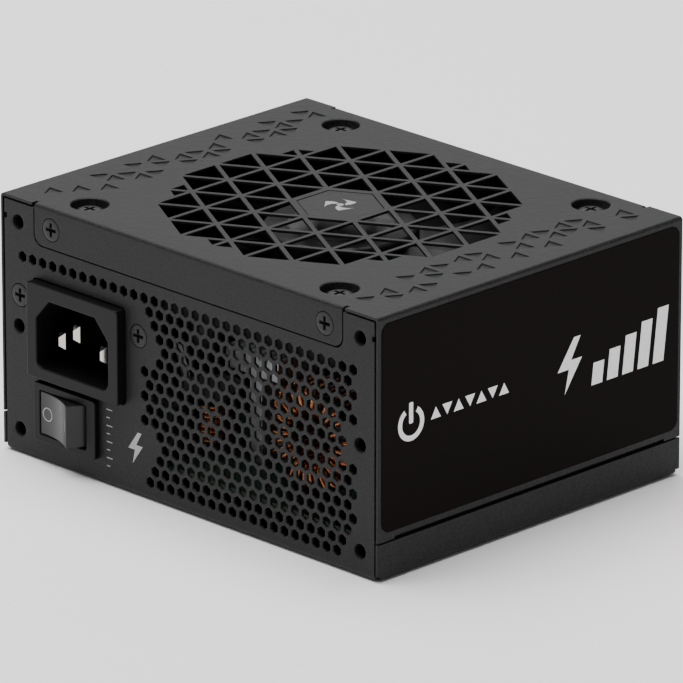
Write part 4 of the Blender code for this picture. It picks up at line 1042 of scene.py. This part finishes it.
# SCREWS. Steel screws with a thin black coating and a cross recess: flat heads sunk in the cover's flanges
# and beside the inlet, and pan heads in the four cups, which hold the fan. All are self-cutting.

# Black-coated steel: nearly black with a weak metallic shine and a fine mottle of about 0.4 mm.
black_steel = grained(
    "black_coated_screw_steel", "#1E1E20", 0.42, 2600.0, 3.0, metallic=0.3, Specular_IOR_Level=0.35,
    relief=(0.00002, 0.5), shades=((0.35, "#18181A"), (0.68, "#262628")))


def screw_skin(profile, recess_depth):
    """A screw on the origin with its head up, from the edge of its flat top to its tip."""
    rim_radius, rim_height = profile[0]
    cross = cross_outline(0.42, 1.7)
    skin = Skin()
    skin.flat(upright, [circle(0, 0, rim_radius, 32), cross], rim_height)
    skin.face(skin.walls(upright, cross, (
        (1, rim_height), (0.86, rim_height - recess_depth * 0.5), (0.3, rim_height - recess_depth))))
    skin.face(skin.rings(upright, (0, 0), profile, 32))
    return skin


def flat_head():
    return screw_skin([(2.5, 0), (2.72, -0.07), (2.8, -0.28), (1.5, -1.15), (1.5, -3.2), (0.9, -3.65)], 1.2)


facing_rear, facing_front = (math.pi / 2, 0, 0), (-math.pi / 2, 0, 0)
flange_out = 50.05
inlet_side = [(x, -flange_out, z) for x, z in flange_screws + inlet_ears]
fit(repeated("flat_screws_inlet_end", flat_head(), [black_steel], inlet_side, facing_rear), "screw_steel",
    "case", "cover_screw_rear_left", "cover_screw_rear_right", "inlet_screw_left", "inlet_screw_right")
socket_side = [(x, flange_out, z) for x, z in flange_screws]
fit(repeated("flat_screws_socket_end", flat_head(), [black_steel], socket_side, facing_front), "screw_steel",
    "case", "cover_screw_front_left", "cover_screw_front_right")
pan_head = [(1.95, 1.2), (2.6, 1.1), (3.1, 0.85), (3.35, 0.45), (3.4, 0.1), (3.3, 0), (1.6, 0), (1.6, -8.6)]
pan_screw, cup_floor = screw_skin(pan_head + [(0.9, -9.2)], 0.9), 61.2
fit(repeated("pan_screws_fan", pan_screw, [black_steel], [(*spot, cup_floor) for spot in fan_screws]),
    "screw_steel", "case", *[f"fan_screw_{n}" for n in range(1, 5)])

# SIDE LABELS. A satin polyester film on each side wall, nearly black, under a clear laminate that evens out
# the steel's grain. The marks are screen printed in white: a bolt with rising bars, and a switch-on sign
# with a row of triangles like the grille's.

# Laminated film: a warm black, very even, with hardly any shine and a stipple of about 0.6 mm.
laminate = grained(
    "black_label_film", "#0D0605", 0.42, 1600.0, 2.0, relief=(0.00001, 0.25), shine=(0.38, 0.46),
    Specular_IOR_Level=0.03)
# Screen-printed ink: an opaque, matt white with the screen's weave of about 0.4 mm just showing.
label_print = grained(
    "white_screen_print", "#FAFAFA", 0.5, 2600.0, 2.0, shades=((0.3, "#F2F2F2"), (0.7, "#FFFFFF")))


def bolt(x, y, height):
    """A lightning bolt about its middle."""
    points = ((0.10, 0.5), (-0.30, -0.06), (-0.02, -0.06), (-0.12, -0.5), (0.30, 0.10), (0.03, 0.10),
              (0.26, 0.5))
    return [(x + u * height, y + v * height) for u, v in points]


def open_ring(x, y, outer, inner, gap):
    """A ring with a gap at the top, as on a switch-on sign."""
    turns = np.linspace(math.pi / 2 + gap, math.pi * 2.5 - gap, 41)
    points = [(x + outer * math.cos(turn), y + outer * math.sin(turn)) for turn in turns]
    return points + [(x + inner * math.cos(turn), y + inner * math.sin(turn)) for turn in turns[::-1]]


printed = [bolt(12.3, 36.4, 13.4)]
bar_foot, bar_width = 29.7, 3.6
for step in range(5):
    left, height = 19.6 + 5.15 * step, 5.4 + 2.0 * step
    right, slant, head = left + bar_width, height * 0.12, bar_foot + height
    printed.append([(left, bar_foot), (right, bar_foot), (right + slant, head), (left + slant, head)])
printed += [open_ring(-39.6, 35.9, 4.2, 2.9, 0.55), rounded(-40.25, -38.95, 35.9, 41.0, 0.3, 2)]
for step in range(7):
    point = -1 if step % 2 else 1
    printed.append(circle(-31.6 + 3.7 * step, 36.5 - point * 0.45, 1.85, 3, math.pi / 2 * point))
label_back, label_front = 62.32, 62.47
for side, name in ((1, "right"), (-1, "left")):
    film_skin, ink_skin = Skin(), Skin()
    place = lambda u, z, depth: (side * depth, side * u, z)
    film_skin.prism(place, rounded(-48.9, 48.9, 11.4, 61.8, 2.5, 8), label_back, label_front)
    for shape in printed:
        ink_skin.prism(place, shape, label_front - 0.01, label_front + 0.02)
    label = closed_piece(f"side_label_{name}_film", film_skin, [laminate], 0.04)
    fit(label, "printed_film", "case", f"side_label_{name}")
    fit(closed_piece(f"side_label_{name}_print", ink_skin, [label_print]), "printed_film", "case")

# INLET FACE PRINT AND GRILLE BADGE. Silver screen print on the powder coat, a bolt and a small scale beside
# the switch. The badge is a coated plate glued into the hexagon recess, printed with a three-bladed fan.

# Silver screen print: a dull grey, half metallic, with the screen's weave of about 0.4 mm.
silver_print = grained("silver_screen_print", "#9A9A9C", 0.4, 2600.0, 2.0, metallic=0.4,
                       shades=((0.3, "#8A8A8C"), (0.7, "#AAAAAC")))
face_print = Skin()
print_front, print_back, scale_left, line_width = -50.03, -49.98, -26.9, 0.22
face_print.prism(facing, bolt(-17.2, 11.6, 8.0), print_front, print_back)
for step in range(8):
    right, z = scale_left + (1.1 if step % 2 else 1.9), 18.6 - 2.0 * step
    line = [(scale_left, z), (right, z), (right, z + line_width), (scale_left, z + line_width)]
    face_print.prism(facing, line, print_front, print_back)
fit(closed_piece("inlet_face_print", face_print, [silver_print]), "powder_coat", "case")

badge = Skin()
badge_low, badge_top = 63.2, 63.4
badge.prism(upright, circle(0, 0, 18.1 / math.sqrt(3), 6, math.pi / 6), badge_low, badge_top)
fit(closed_piece("coated_grille_badge", badge, [coat], 0.06), "powder_coat", "case", "grille_badge")
fan_sign = Skin()
for third in range(3):
    start = math.tau / 3 * third + 0.3
    lead = [(radius, start + 0.22 * radius) for radius in np.linspace(1.2, 4.2, 8)]
    trail = [(radius, start + 0.5 + 0.36 * radius) for radius in np.linspace(4.0, 1.2, 8)]
    petal = [(radius * math.cos(turn), radius * math.sin(turn)) for radius, turn in lead + trail]
    fan_sign.prism(upright, petal, badge_top - 0.01, badge_top + 0.02)
fan_sign.prism(upright, circle(0, 0, 0.8, 24), badge_top - 0.01, badge_top + 0.02)
fit(closed_piece("badge_fan_sign", fan_sign, [silver_print]), "powder_coat", "case")
